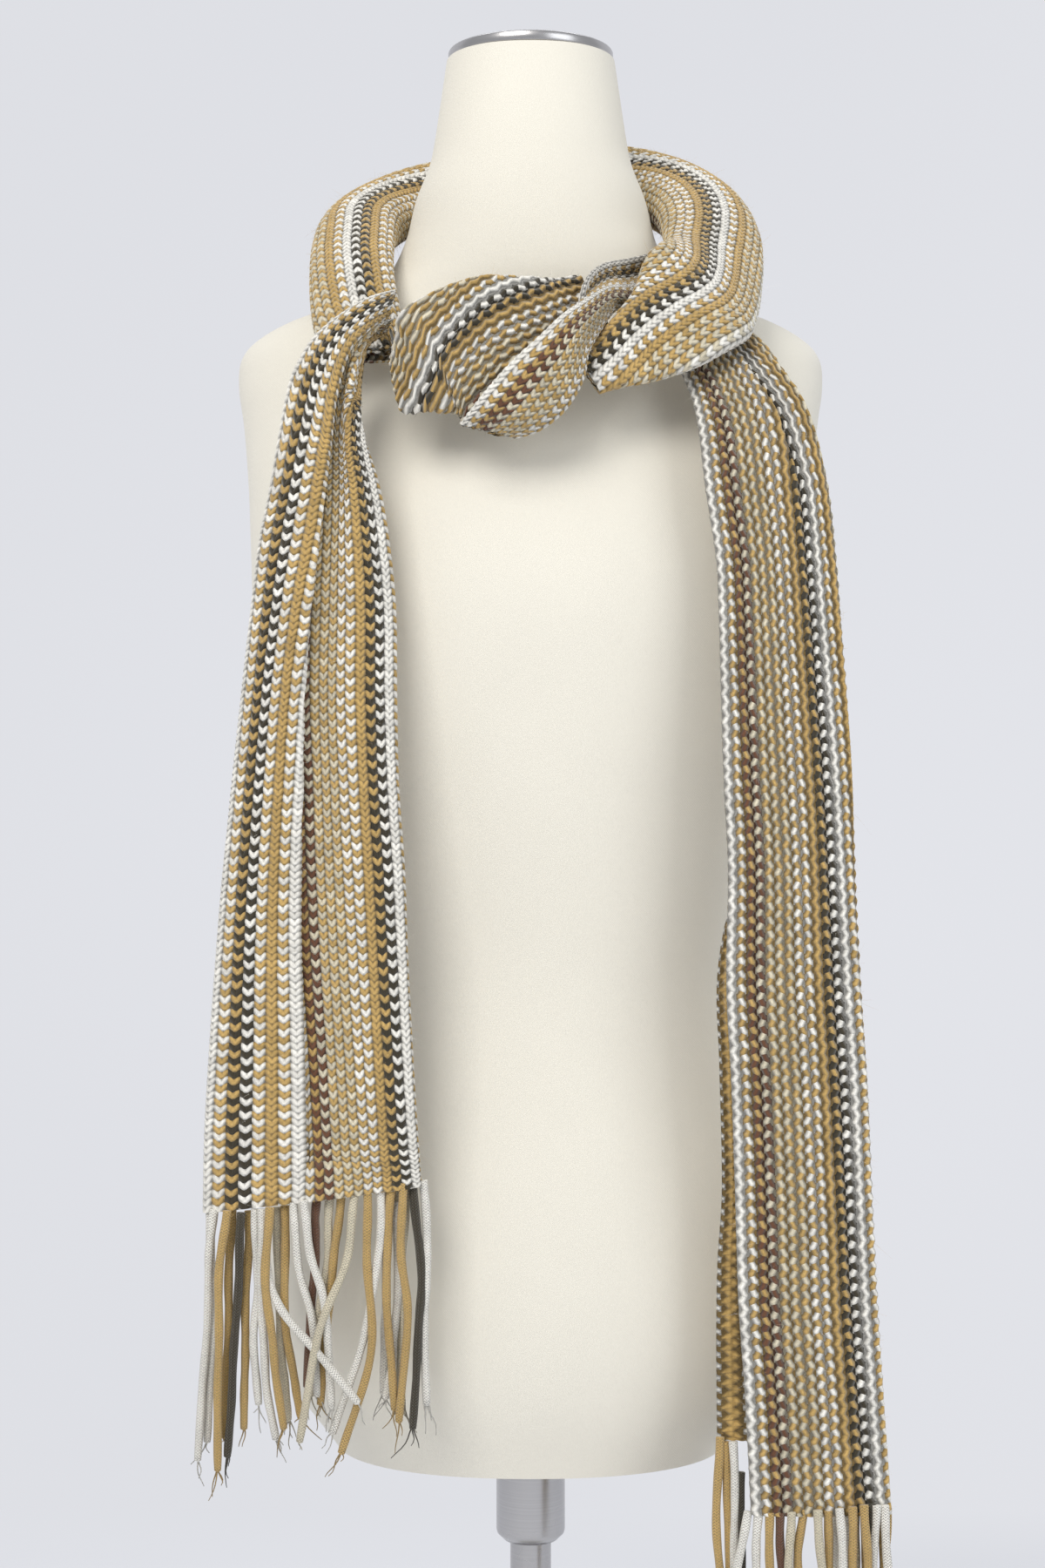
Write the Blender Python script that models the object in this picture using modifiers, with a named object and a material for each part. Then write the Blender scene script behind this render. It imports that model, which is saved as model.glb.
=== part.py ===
"""A long knitted scarf, wound once round the neck of a limbless dress form and looped at
the front, on the form's own neck cap, pole and round base.

Metres, Z up. The origin is the centre of the underside of the base; the front faces -Y."""

from math import cos, pi, radians, sin

import bmesh
import bpy
import numpy as np

for old in list(bpy.data.objects):
    bpy.data.objects.remove(old)

# ---- cloth
WIDTH = 0.1445  # flat width of the scarf, 27 wales
PITCH = WIDTH / 27  # one wale
CLOTH = 0.0026  # thickness of the knit between its two faces
ROLL_GAP = 0.005  # from one turn of a roll to the next
FRINGE = 0.145  # reach of the knotted ends past the hem
FRINGE_THICK = 0.008

# ---- form and stand
CAP_R, CAP_H, CAP_Z = 0.0505, 0.007, 1.343
POLE_R = 0.0125
SOCKET_R, SOCKET_H = 0.021, 0.060
BASE_R, BASE_H = 0.175, 0.016
GAP = 0.0003  # between neighbours

# Left tail, top to hem. Columns: first edge x, z, y; fold x, z, y; far outline x, z, y; lap;
# share of the cloth's width in this piece (the rest is bunched out of sight in the knot).
TAIL_LEFT = [
    (-0.044, 1.192, -0.094, -0.049, 1.180, -0.097, -0.055, 1.164, -0.092, 0.0000, 0.42),
    (-0.059, 1.190, -0.106, -0.065, 1.176, -0.109, -0.070, 1.157, -0.102, 0.0000, 0.42),
    (-0.074, 1.183, -0.114, -0.079, 1.170, -0.117, -0.083, 1.161, -0.097, 0.0000, 0.4),
    (-0.091, 1.175, -0.128, -0.091, 1.158, -0.134, -0.094, 1.151, -0.115, 0.0010, 0.4),
    (-0.106, 1.166, -0.129, -0.101, 1.145, -0.145, -0.096, 1.131, -0.132, 0.0020, 0.46),
    (-0.121, 1.154, -0.128, -0.106, 1.130, -0.147, -0.097, 1.118, -0.137, 0.0030, 0.66),
    (-0.130, 1.140, -0.128, -0.109, 1.115, -0.147, -0.097, 1.109, -0.137, 0.0040, 0.86),
    (-0.137, 1.122, -0.128, -0.111, 1.095, -0.147, -0.094, 1.094, -0.137, 0.0050, 0.96),
    (-0.146, 1.068, -0.130, -0.115, 1.066, -0.148, -0.086, 1.067, -0.137, 0.0060, 1),
    (-0.152, 1.039, -0.132, -0.118, 1.037, -0.149, -0.081, 1.038, -0.138, 0.0060, 1),
    (-0.156, 1.000, -0.133, -0.123, 0.998, -0.150, -0.077, 0.999, -0.139, 0.0060, 1),
    (-0.162, 0.951, -0.134, -0.127, 0.950, -0.150, -0.076, 0.951, -0.140, 0.0060, 1),
    (-0.167, 0.902, -0.134, -0.128, 0.902, -0.149, -0.075, 0.902, -0.141, 0.0050, 1),
    (-0.172, 0.853, -0.134, -0.128, 0.854, -0.148, -0.072, 0.853, -0.141, 0.0040, 1),
    (-0.176, 0.804, -0.134, -0.128, 0.805, -0.147, -0.070, 0.805, -0.141, 0.0030, 1),
    (-0.179, 0.756, -0.134, -0.127, 0.757, -0.146, -0.068, 0.756, -0.141, 0.0020, 1),
    (-0.182, 0.707, -0.134, -0.126, 0.708, -0.145, -0.065, 0.708, -0.141, 0.0010, 1),
    (-0.183, 0.662, -0.134, -0.126, 0.669, -0.144, -0.062, 0.678, -0.141, 0.0000, 1),
]

# Right tail, top to hem. Columns: left fold x, z, y; right outline x, z, y; reach of the
# first edge past the fold (negative while it stays folded behind).
TAIL_RIGHT = [
    (0.083, 1.154, -0.082, 0.113, 1.174, -0.072, -0.030),
    (0.087, 1.138, -0.094, 0.129, 1.161, -0.085, -0.030),
    (0.092, 1.120, -0.110, 0.141, 1.143, -0.102, -0.030),
    (0.095, 1.099, -0.123, 0.156, 1.115, -0.114, -0.030),
    (0.098, 1.068, -0.133, 0.166, 1.072, -0.123, -0.030),
    (0.103, 1.029, -0.136, 0.171, 1.030, -0.126, -0.030),
    (0.105, 0.999, -0.137, 0.173, 1.000, -0.127, -0.028),
    (0.106, 0.951, -0.138, 0.176, 0.951, -0.128, -0.022),
    (0.107, 0.902, -0.138, 0.179, 0.902, -0.128, -0.014),
    (0.110, 0.853, -0.138, 0.181, 0.853, -0.128, -0.006),
    (0.109, 0.790, -0.138, 0.185, 0.789, -0.128, 0.004),
    (0.112, 0.732, -0.138, 0.189, 0.731, -0.128, 0.006),
    (0.114, 0.659, -0.138, 0.191, 0.657, -0.128, 0.007),
    (0.116, 0.610, -0.138, 0.194, 0.608, -0.128, 0.011),
    (0.119, 0.561, -0.138, 0.197, 0.559, -0.128, 0.015),
    (0.122, 0.494, -0.138, 0.201, 0.491, -0.128, 0.018),
]

# Collar and right band, from the left front round the back of the neck to the knot.
# Columns: centre x, y, z; turn and tip of the outer side in degrees; width, height; the
# part of the outer edge that is turned under; share of the cloth's width in this piece.
COLLAR = [
    (-0.092, -0.094, 1.138, -34, -46, 0.050, 0.018, 0.012, 1),
    (-0.100, -0.077, 1.171, -46, -40, 0.052, 0.022, 0.012, 1),
    (-0.105, -0.050, 1.203, -62, -28, 0.050, 0.026, 0.012, 1),
    (-0.106, -0.017, 1.229, -80, -12, 0.050, 0.028, 0.012, 1),
    (-0.102, 0.014, 1.246, -100, 4, 0.051, 0.035, 0.012, 1),
    (-0.088, 0.044, 1.263, -120, 22, 0.050, 0.035, 0.012, 1),
    (-0.062, 0.069, 1.279, -142, 38, 0.052, 0.029, 0.012, 1),
    (-0.026, 0.082, 1.287, -166, 50, 0.054, 0.026, 0.012, 1),
    (0.014, 0.086, 1.292, -187, 54, 0.056, 0.026, 0.012, 1),
    (0.052, 0.076, 1.291, -209, 46, 0.054, 0.028, 0.012, 1),
    (0.080, 0.052, 1.277, -230, 30, 0.057, 0.038, 0.012, 1),
    (0.100, 0.023, 1.259, -252, 10, 0.058, 0.038, 0.012, 1),
    (0.108, -0.012, 1.237, -273, -12, 0.060, 0.033, 0.010, 1),
    (0.107, -0.052, 1.210, -297, -36, 0.062, 0.024, 0.006, 1),
    (0.096, -0.098, 1.184, -325, -55, 0.075, 0.020, 0.003, 0.98),
    (0.079, -0.116, 1.164, -342, -70, 0.060, 0.017, 0.004, 0.85),
    (0.058, -0.123, 1.149, -350, -80, 0.044, 0.014, 0.014, 0.72),
    (0.043, -0.127, 1.139, -350, -80, 0.030, 0.012, 0.026, 0.62),
    (0.032, -0.128, 1.132, -350, -80, 0.022, 0.011, 0.032, 0.55),
]

# Strand across the front, from under the left tail to under the right band. Same columns.
STRAND = [
    (-0.111, -0.104, 1.120, 180, 80, 0.027, 0.013, 0.000, 1),
    (-0.092, -0.111, 1.124, 180, 80, 0.026, 0.013, 0.000, 1),
    (-0.075, -0.124, 1.126, 180, 80, 0.037, 0.013, 0.000, 1),
    (-0.062, -0.130, 1.133, 180, 80, 0.058, 0.016, 0.003, 1),
    (-0.051, -0.129, 1.139, 180, 80, 0.075, 0.021, 0.008, 1),
    (-0.033, -0.128, 1.144, 180, 80, 0.083, 0.022, 0.017, 1),
    (-0.014, -0.126, 1.150, 180, 80, 0.081, 0.022, 0.026, 1),
    (0.005, -0.119, 1.157, 180, 80, 0.067, 0.020, 0.036, 1),
    (0.022, -0.110, 1.164, 180, 80, 0.054, 0.017, 0.044, 1),
    (0.037, -0.102, 1.173, 180, 80, 0.044, 0.014, 0.046, 1),
]

# Wrap over the strand, top to bottom. Columns: ridge x, z; crest x, z, y; lower edge
# x, z, y; how far the part above the crest is tucked under it (0 to 1).
WRAP = [
    (0.072, 1.211, 0.069, 1.194, -0.084, 0.076, 1.180, -0.080, 0),
    (0.056, 1.205, 0.057, 1.188, -0.097, 0.064, 1.172, -0.093, 0),
    (0.040, 1.198, 0.044, 1.184, -0.114, 0.049, 1.173, -0.112, 0),
    (0.028, 1.189, 0.032, 1.174, -0.132, 0.038, 1.157, -0.132, 0.15),
    (0.019, 1.177, 0.018, 1.162, -0.147, 0.031, 1.142, -0.145, 0.6),
    (0.012, 1.157, 0.005, 1.149, -0.152, 0.029, 1.130, -0.147, 1),
    (-0.000, 1.142, -0.009, 1.136, -0.154, 0.025, 1.120, -0.147, 1),
    (-0.013, 1.128, -0.022, 1.122, -0.153, 0.017, 1.109, -0.144, 1),
    (-0.021, 1.117, -0.032, 1.110, -0.150, 0.004, 1.100, -0.140, 1),
    (-0.027, 1.107, -0.039, 1.102, -0.143, -0.009, 1.097, -0.134, 1),
]

# Form, bottom to neck. Columns: height, half width, front y, back y.
TORSO = [
    (0.500, 0.118, -0.088, 0.096), (0.545, 0.150, -0.104, 0.108), (0.590, 0.165, -0.110, 0.115),
    (0.650, 0.160, -0.106, 0.112), (0.720, 0.140, -0.096, 0.098), (0.787, 0.128, -0.092, 0.088),
    (0.860, 0.140, -0.100, 0.092), (0.940, 0.160, -0.112, 0.100), (1.000, 0.168, -0.119, 0.104),
    (1.040, 0.170, -0.118, 0.106), (1.080, 0.172, -0.108, 0.106), (1.120, 0.176, -0.088, 0.104),
    (1.145, 0.180, -0.074, 0.104), (1.163, 0.179, -0.064, 0.102), (1.175, 0.170, -0.057, 0.101),
    (1.186, 0.150, -0.055, 0.100), (1.196, 0.118, -0.056, 0.097), (1.210, 0.092, -0.059, 0.090),
    (1.232, 0.078, -0.060, 0.080), (1.258, 0.0707, -0.060, 0.070), (1.278, 0.0625, -0.059, 0.061),
    (1.295, 0.0587, -0.0575, 0.059), (1.343, 0.0515, -0.0515, 0.0515),
]

def smooth_rows(rows, q):
    """Rows of a table between its own rows, by Catmull-Rom; q counts rows."""
    p = np.asarray(rows, float)
    m = len(p)
    q = np.asarray(q, float)
    i = np.clip(q.astype(int), 0, m - 2)
    f = (q - i)[:, None]
    p1, p2 = p[i], p[i + 1]
    p0 = np.where((i == 0)[:, None], 2 * p1 - p2, p[np.clip(i - 1, 0, m - 1)])
    p3 = np.where((i == m - 2)[:, None], 2 * p2 - p1, p[np.clip(i + 2, 0, m - 1)])
    return 0.5 * (2 * p1 + (p2 - p0) * f + (2 * p0 - 5 * p1 + 4 * p2 - p3) * f**2
                  + (3 * p1 - p0 - 3 * p2 + p3) * f**3)


def curve(points, per=8):
    """A smooth curve through points (centripetal Catmull-Rom)."""
    p = np.asarray(points, float)
    a = np.vstack([2 * p[0] - p[1], p, 2 * p[-1] - p[-2]])
    out = []
    for i in range(1, len(a) - 2):
        p0, p1, p2, p3 = a[i - 1:i + 3]
        t1 = max(np.linalg.norm(p1 - p0), 1e-9) ** 0.5
        t2 = t1 + max(np.linalg.norm(p2 - p1), 1e-9) ** 0.5
        t3 = t2 + max(np.linalg.norm(p3 - p2), 1e-9) ** 0.5
        t = np.linspace(t1, t2, per, endpoint=False)[:, None]
        a1 = (t1 - t) / t1 * p0 + t / t1 * p1
        a2 = (t2 - t) / (t2 - t1) * p1 + (t - t1) / (t2 - t1) * p2
        a3 = (t3 - t) / (t3 - t2) * p2 + (t - t2) / (t3 - t2) * p3
        b1 = (t2 - t) / t2 * a1 + t / t2 * a2
        b2 = (t3 - t) / (t3 - t1) * a2 + (t - t1) / (t3 - t1) * a3
        out.append((t2 - t) / (t2 - t1) * b1 + (t - t1) / (t2 - t1) * b2)
    return np.vstack(out + [p[-1:]])


def arc(p):
    return np.concatenate([[0], np.cumsum(np.linalg.norm(np.diff(p, axis=0), axis=1))])


def cut(p, length):
    """The first `length` of a curve, run on straight where it is shorter."""
    a = arc(p)
    if a[-1] < length:
        d = (p[-1] - p[-2]) / np.linalg.norm(p[-1] - p[-2])
        return np.vstack([p, p[-1] + d * (length - a[-1])])
    k = int(np.searchsorted(a, length))
    f = (length - a[k - 1]) / (a[k] - a[k - 1])
    return np.vstack([p[:k], p[k - 1] + (p[k] - p[k - 1]) * f])


def even(p, n):
    """n points at even arc length, so that the wales keep one width."""
    a = arc(p)
    q = np.linspace(0, a[-1], n)
    return np.stack([np.interp(q, a, p[:, k]) for k in range(3)], 1)


BACK = np.array([0.0, 1.0, 0.0])


def across_of(a, b):
    d = np.array([b[0] - a[0], 0.0, b[2] - a[2]])
    return d / np.linalg.norm(d), np.linalg.norm(d)


def tail_left_section(row, n):
    """First yarn at the left; a lap at the fold; the far edge curls behind."""
    ax, az, ay, fx, fz, fy, bx, bz, by, lap, part = row
    a, f, b = np.array([ax, ay, az]), np.array([fx, fy, fz]), np.array([bx, by, bz])
    u, wide = across_of(a, b)
    step = 0.0042 + 0.45 * lap
    pts = [a + u * 0.003 + BACK * 0.004, a, (a + f) / 2 - BACK * 0.003, f]
    if lap > 0.0005:
        pts += [f - u * (0.9 * lap + 0.001) + BACK * step,
                f + u * (0.002 + lap) + BACK * step * 1.55]
    mid = f + (b - f) * 0.55
    mid[1] = (f[1] + b[1]) / 2 - 0.002
    pts += [mid, b - u * 0.005 - BACK * 0.0015, b + BACK * 0.002]
    far = max(wide - 0.009, 0.012)
    for k in range(3):
        d = 0.0052 + 0.0072 * k
        pts += [b - u * 0.005 + BACK * d, b - u * (far - 0.003) + BACK * (d + 0.0004),
                b - u * far + BACK * (d + 0.0020), b - u * (far - 0.004) + BACK * (d + 0.0036),
                b - u * 0.006 + BACK * (d + 0.0038), b - u * 0.0035 + BACK * (d + 0.0055)]
    return even(cut(curve(pts), WIDTH * part), n)


def tail_right_section(row, n):
    """First seven yarns folded behind the left edge; the far edge curls behind."""
    lx, lz, ly, rx, rz, ry, peek = row
    l, r = np.array([lx, ly, lz]), np.array([rx, ry, rz])
    u, wide = across_of(l, r)
    own = 7.5 * PITCH
    flat = np.clip(-peek / 0.030, 0, 1)
    inner = 0.009 + (own * 0.5 - 0.009) * flat
    edge = -peek * (1 - flat) + own * 0.97 * flat if peek < 0 else -peek
    pts = [l + u * edge + BACK * (0.011 - 0.003 * flat), l + u * inner + BACK * 0.006,
           l + BACK * 0.0005 + u * 0.0004]
    for f, swell in ((0.12, 0.0025), (0.45, 0.005), (0.8, 0.004)):
        pts.append(l + (r - l) * f - BACK * swell)
    pts += [r, r - u * 0.005 + BACK * 0.0065, r - u * 0.024 + BACK * 0.009,
            r - u * 0.060 + BACK * 0.010]
    return even(cut(curve(pts), WIDTH), n)


def wrap_section(row, n):
    """The crest, its pleat or tuck, and the bulge down to the lower edge."""
    rx, rz, cx, cz, cy, ex, ez, ey, tuck = row
    c, e, r = np.array([cx, cy, cz]), np.array([ex, ey, ez]), np.array([rx, cy + 0.003, rz])
    u, wide = across_of(c, e)
    a0 = (r + BACK * 0.002) * (1 - tuck) + (c + u * 0.026 + BACK * 0.007) * tuck
    a1 = ((r + c) / 2 + BACK * 0.009) * (1 - tuck) + (c + u * 0.012 + BACK * 0.0055) * tuck
    pts = [a0, a1, c + BACK * 0.0005, c + u * 0.003 - BACK * 0.0015, (c + e) / 2 - BACK * 0.004,
           e - u * 0.003, e + BACK * 0.003, e - u * 0.006 + BACK * 0.007,
           e - u * 0.016 + BACK * 0.008]
    return even(curve(pts), n)


def roll_section(row, way, n):
    """The cloth rolled lengthwise into a flattened tube, outer edge first."""
    x, y, z, turn, tip, wide, high, lead, part = row
    t, r = radians(turn), radians(tip)
    out, up = np.array([sin(t), -cos(t), 0.0]), np.array([0, 0, 1.0])
    u = out * cos(r) + up * sin(r)
    v0 = up * cos(r) - out * sin(r)
    u = u - way * (u @ way)
    u /= np.linalg.norm(u)
    v = np.cross(way, u)
    v *= np.sign(v @ v0)
    th = np.radians(np.linspace(-200, 640, 1100))
    k = np.degrees(th) / 360 * ROLL_GAP
    a, b = np.maximum(wide / 2 - k, 0.002), np.maximum(high / 2 - k, 0.001)
    c, s = np.cos(th), np.sin(th)
    p = (np.array([x, y, z]) + (a * np.sign(c) * np.abs(c) ** 0.83)[:, None] * u
         + (b * np.sign(s) * np.abs(s) ** 0.83)[:, None] * v)
    along = arc(p)
    start = max(np.interp(0.0, th, along) - lead, 0.0)
    return even(cut(p[int(np.searchsorted(along, start)):], WIDTH * part), n)[::-1]


def stretch(table, section, ns, nt, ends=(0.0, 1.0)):
    """ns sections of nt points, evenly spaced along the stretch."""
    rows = np.asarray(table, float)
    q = np.linspace(0, len(rows) - 1, len(rows) * 8)
    dense = smooth_rows(rows, q)
    if section is roll_section:
        mid = dense[:, :3]
    else:
        mid = np.array([section(r, 12).mean(0) for r in dense])
    a = arc(mid)
    rows = smooth_rows(rows, np.interp(np.linspace(ends[0], ends[1], ns) * a[-1], a, q))
    if section is roll_section:
        way = np.gradient(rows[:, :3], axis=0)
        way /= np.linalg.norm(way, axis=1, keepdims=True)
        return np.array([section(r, w, nt) for r, w in zip(rows, way)])
    return np.array([section(r, nt) for r in rows])


def material(name, colour, rough, metal=0.0):
    m = bpy.data.materials.new(name)
    m.use_nodes = True
    b = m.node_tree.nodes["Principled BSDF"]
    b.inputs["Base Color"].default_value = (*colour, 1)
    b.inputs["Roughness"].default_value = rough
    b.inputs["Metallic"].default_value = metal
    return m


group = bpy.data.collections.new("knit_scarf_on_form")
bpy.context.scene.collection.children.link(group)


def add(name, mesh, mat):
    ob = bpy.data.objects.new(name, mesh)
    group.objects.link(ob)
    mesh.materials.append(mat)
    return ob


def sheet(name, grid, mat, flip=False):
    """An open loft through the sections, thickened both ways."""
    ns, nt = grid.shape[:2]
    faces = []
    for i in range(ns - 1):
        for j in range(nt - 1):
            k = i * nt + j
            f = (k, k + 1, k + nt + 1, k + nt)
            faces.append(f[::-1] if flip else f)
    mesh = bpy.data.meshes.new(name)
    mesh.from_pydata(grid.reshape(-1, 3).tolist(), [], faces)
    ob = add(name, mesh, mat)
    mod = ob.modifiers.new("cloth", "SOLIDIFY")
    mod.thickness = CLOTH
    mod.offset = 0
    mod.use_rim = True
    return ob


def closed_loft(name, rings, mat):
    """A solid through closed rings of equal count, with flat ends."""
    n = len(rings[0])
    verts = [tuple(p) for ring in rings for p in ring]
    faces = []
    for i in range(len(rings) - 1):
        for j in range(n):
            a, b = i * n + j, i * n + (j + 1) % n
            faces.append((a, b, b + n, a + n))
    faces.append(tuple(reversed(range(n))))
    faces.append(tuple(range((len(rings) - 1) * n, len(rings) * n)))
    mesh = bpy.data.meshes.new(name)
    mesh.from_pydata(verts, [], faces)
    mesh.update()
    return add(name, mesh, mat)


def lathe(name, profile, mat, n=48):
    """A turned solid: (radius, height) from the bottom up, closed on the axis."""
    rings = [[(r * cos(2 * pi * j / n), r * sin(2 * pi * j / n), z) for j in range(n)]
             for r, z in profile]
    return closed_loft(name, rings, mat)


scarf = material("knit scarf", (0.62, 0.50, 0.33), 0.95)
jersey = material("form jersey", (0.80, 0.76, 0.66), 0.9)
metal = material("brushed metal", (0.55, 0.55, 0.56), 0.3, 1.0)
painted = material("stand paint", (0.72, 0.72, 0.70), 0.45)

# ---- the form, closed at the shoulders, from its flat underside to under the neck cap
rings = []
for z, half, front, back in smooth_rows(TORSO, np.linspace(0, len(TORSO) - 1, 44)):
    cy, hy = (front + back) / 2, (back - front) / 2
    rings.append([(half * np.sign(cos(t)) * abs(cos(t)) ** 0.9,
                   cy + hy * np.sign(sin(t)) * abs(sin(t)) ** 0.9, z)
                  for t in np.linspace(0, 2 * pi, 40, endpoint=False)])
closed_loft("form_torso", rings, jersey)
lathe("neck_cap", [(CAP_R - 0.001, CAP_Z + GAP), (CAP_R, CAP_Z + GAP + 0.001),
                   (CAP_R, CAP_Z + CAP_H - 0.0015), (CAP_R - 0.0015, CAP_Z + CAP_H)], metal)
low = TORSO[0][0]
lathe("pole_socket", [(POLE_R + 0.004, low - SOCKET_H), (SOCKET_R, low - SOCKET_H + 0.006),
                      (SOCKET_R, low - GAP)], metal, 32)
lathe("pole", [(POLE_R, BASE_H + GAP), (POLE_R, low - SOCKET_H - GAP)], metal, 32)
lathe("stand_base", [(BASE_R, 0), (BASE_R, BASE_H * 0.45), (BASE_R - 0.004, BASE_H * 0.75),
                     (BASE_R * 0.45, BASE_H * 0.93), (0.03, BASE_H)], painted, 64)

# ---- the scarf, one piece for each stretch that shows
left = stretch(TAIL_LEFT, tail_left_section, 26, 23, (0.07, 1))
right = stretch(TAIL_RIGHT, tail_right_section, 24, 23, (0.03, 1))
sheet("tail_left", left, scarf)
sheet("tail_right", right, scarf)
sheet("collar", stretch(COLLAR, roll_section, 34, 20, (0.02, 1)), scarf)
sheet("strand_front", stretch(STRAND, roll_section, 14, 22, (0.25, 1)), scarf)
sheet("wrap_front", stretch(WRAP, wrap_section, 16, 14, (0.0, 1)), scarf)


def fringe(name, hem, reach, wave):
    """A plain slab of the fringe's reach, under its hem."""
    n = 12
    a = even(hem, n)
    rings = []
    for k, f in enumerate(np.linspace(0, 1, 5)):
        mid = a.copy()
        mid[:, 1] = a[:, 1] * (1 - f) + a[:, 1].mean() * f
        mid[:, 2] = a[:, 2] - 0.002 - GAP - reach * f - wave * f * np.sin(np.linspace(0, 5, n))
        half = FRINGE_THICK / 2 * (1 - 0.35 * f)
        rings.append([tuple(p - BACK * half) for p in mid] + [tuple(p + BACK * half) for p in mid[::-1]])
    closed_loft(name, rings[::-1], scarf)


def hem_line(grid, first, last):
    """The run of the hem that hangs to the front, as one open line."""
    return grid[-1][first:last]


fringe("fringe_left", hem_line(left, 0, 18), FRINGE, 0.004)
fringe("fringe_right", hem_line(right, 5, 19), FRINGE, 0.004)
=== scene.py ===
"""The looks of a long knitted scarf wound round the neck of a limbless dress form: each
stretch is a thin shell laid out stitch by stitch on the solid's form, with rope fringes.

Metres, Z up; the front faces -Y. u counts the strip's 28 yarns across (0 to 27) and v its
rows from the left hem to the right one."""

from math import cos, pi, radians, sin

import bpy
import numpy as np
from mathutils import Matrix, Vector


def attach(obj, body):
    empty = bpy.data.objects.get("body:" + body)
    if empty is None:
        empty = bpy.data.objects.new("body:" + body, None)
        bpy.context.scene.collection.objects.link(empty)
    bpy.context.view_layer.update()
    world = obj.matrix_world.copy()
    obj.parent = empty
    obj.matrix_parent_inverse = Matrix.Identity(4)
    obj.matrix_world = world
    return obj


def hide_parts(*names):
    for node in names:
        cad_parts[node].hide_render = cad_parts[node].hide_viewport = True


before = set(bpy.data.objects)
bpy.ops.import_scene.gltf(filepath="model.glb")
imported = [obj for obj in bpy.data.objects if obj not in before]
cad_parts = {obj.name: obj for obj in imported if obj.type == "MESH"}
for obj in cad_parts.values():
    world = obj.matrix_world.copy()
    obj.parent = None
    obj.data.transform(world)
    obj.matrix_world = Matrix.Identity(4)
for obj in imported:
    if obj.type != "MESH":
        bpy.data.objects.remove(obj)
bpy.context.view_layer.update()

# ---- cloth
WIDTH = 0.1445  # flat width of the scarf, 27 wales
WALES = 27
PITCH = WIDTH / WALES  # one wale
ROW = 0.00385  # one row
ROLL_GAP = 0.005
# The yarns across the strip, first edge to last: White, Cream, Mustard, blacK, Brown
YARNS = "WWMKWMMWWMBCMCMWMMKWWMMCMCWW"
TONES = {"W": (0.79, 0.765, 0.70), "C": (0.62, 0.56, 0.42), "M": (0.50, 0.33, 0.115),
         "K": (0.044, 0.036, 0.022), "B": (0.135, 0.058, 0.03)}

# Left tail, top to hem. Columns: first edge x, z, y; fold x, z, y; far outline x, z, y; lap; share
# of the width; yarn at the first edge, at the fold, past the lap and at the far outline.
TAIL_LEFT = [
    (-0.0441, 1.1920, -0.0940, -0.0491, 1.1799, -0.0970, -0.0552, 1.1643, -0.0920, 0.0000, 0.42, 0.5, 6, 12, 17),
    (-0.0587, 1.1896, -0.1060, -0.0646, 1.1761, -0.1090, -0.0699, 1.1575, -0.1020, 0.0000, 0.42, 0.5, 6, 12, 17),
    (-0.0743, 1.1826, -0.1140, -0.0791, 1.1696, -0.1170, -0.0826, 1.1609, -0.0970, 0.0000, 0.4, 0.5, 6, 12, 17),
    (-0.0907, 1.1749, -0.1280, -0.0914, 1.1577, -0.1340, -0.0935, 1.1512, -0.1150, 0.0010, 0.4, 0.5, 6, 12, 17),
    (-0.1059, 1.1659, -0.1290, -0.1009, 1.1450, -0.1450, -0.0964, 1.1307, -0.1320, 0.0020, 0.46, 0.5, 6, 12, 17),
    (-0.1206, 1.1539, -0.1280, -0.1060, 1.1302, -0.1470, -0.0965, 1.1182, -0.1370, 0.0030, 0.66, 0.5, 6, 12, 17),
    (-0.1299, 1.1397, -0.1280, -0.1094, 1.1147, -0.1470, -0.0965, 1.1094, -0.1370, 0.0040, 0.86, 0.5, 6, 13, 18.5),
    (-0.1368, 1.1215, -0.1280, -0.1114, 1.0954, -0.1470, -0.0936, 1.0938, -0.1370, 0.0050, 0.96, 0.6, 6, 13, 20),
    (-0.1459, 1.0684, -0.1300, -0.1151, 1.0663, -0.1480, -0.0858, 1.0666, -0.1370, 0.0060, 1, 0.7, 6.1, 12.3, 20.3),
    (-0.1516, 1.0388, -0.1320, -0.1184, 1.0372, -0.1490, -0.0809, 1.0382, -0.1380, 0.0060, 1, 0.7, 6.3, 11.8, 20.3),
    (-0.1564, 0.9997, -0.1330, -0.1227, 0.9985, -0.1500, -0.0770, 0.9992, -0.1390, 0.0060, 1, 0.6, 6.8, 11.2, 20.3),
    (-0.1616, 0.9508, -0.1340, -0.1266, 0.9502, -0.1500, -0.0764, 0.9506, -0.1400, 0.0060, 1, 0.5, 7.3, 10.6, 20.3),
    (-0.1670, 0.9020, -0.1340, -0.1276, 0.9020, -0.1490, -0.0754, 0.9020, -0.1410, 0.0050, 1, 0.4, 7.7, 10, 20.2),
    (-0.1719, 0.8532, -0.1340, -0.1282, 0.8537, -0.1480, -0.0720, 0.8534, -0.1410, 0.0040, 1, 0.3, 8, 9.6, 20.2),
    (-0.1758, 0.8044, -0.1340, -0.1283, 0.8053, -0.1470, -0.0701, 0.8049, -0.1410, 0.0030, 1, 0.3, 8, 9.1, 20.1),
    (-0.1792, 0.7556, -0.1340, -0.1269, 0.7569, -0.1460, -0.0676, 0.7563, -0.1410, 0.0020, 1, 0.3, 8, 8.7, 20.1),
    (-0.1821, 0.7068, -0.1340, -0.1260, 0.7083, -0.1450, -0.0647, 0.7078, -0.1410, 0.0010, 1, 0.3, 8, 8.3, 20.1),
    (-0.1831, 0.6619, -0.1340, -0.1256, 0.6694, -0.1440, -0.0623, 0.6777, -0.1410, 0.0000, 1, 0.3, 8, 8, 20),
]

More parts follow.
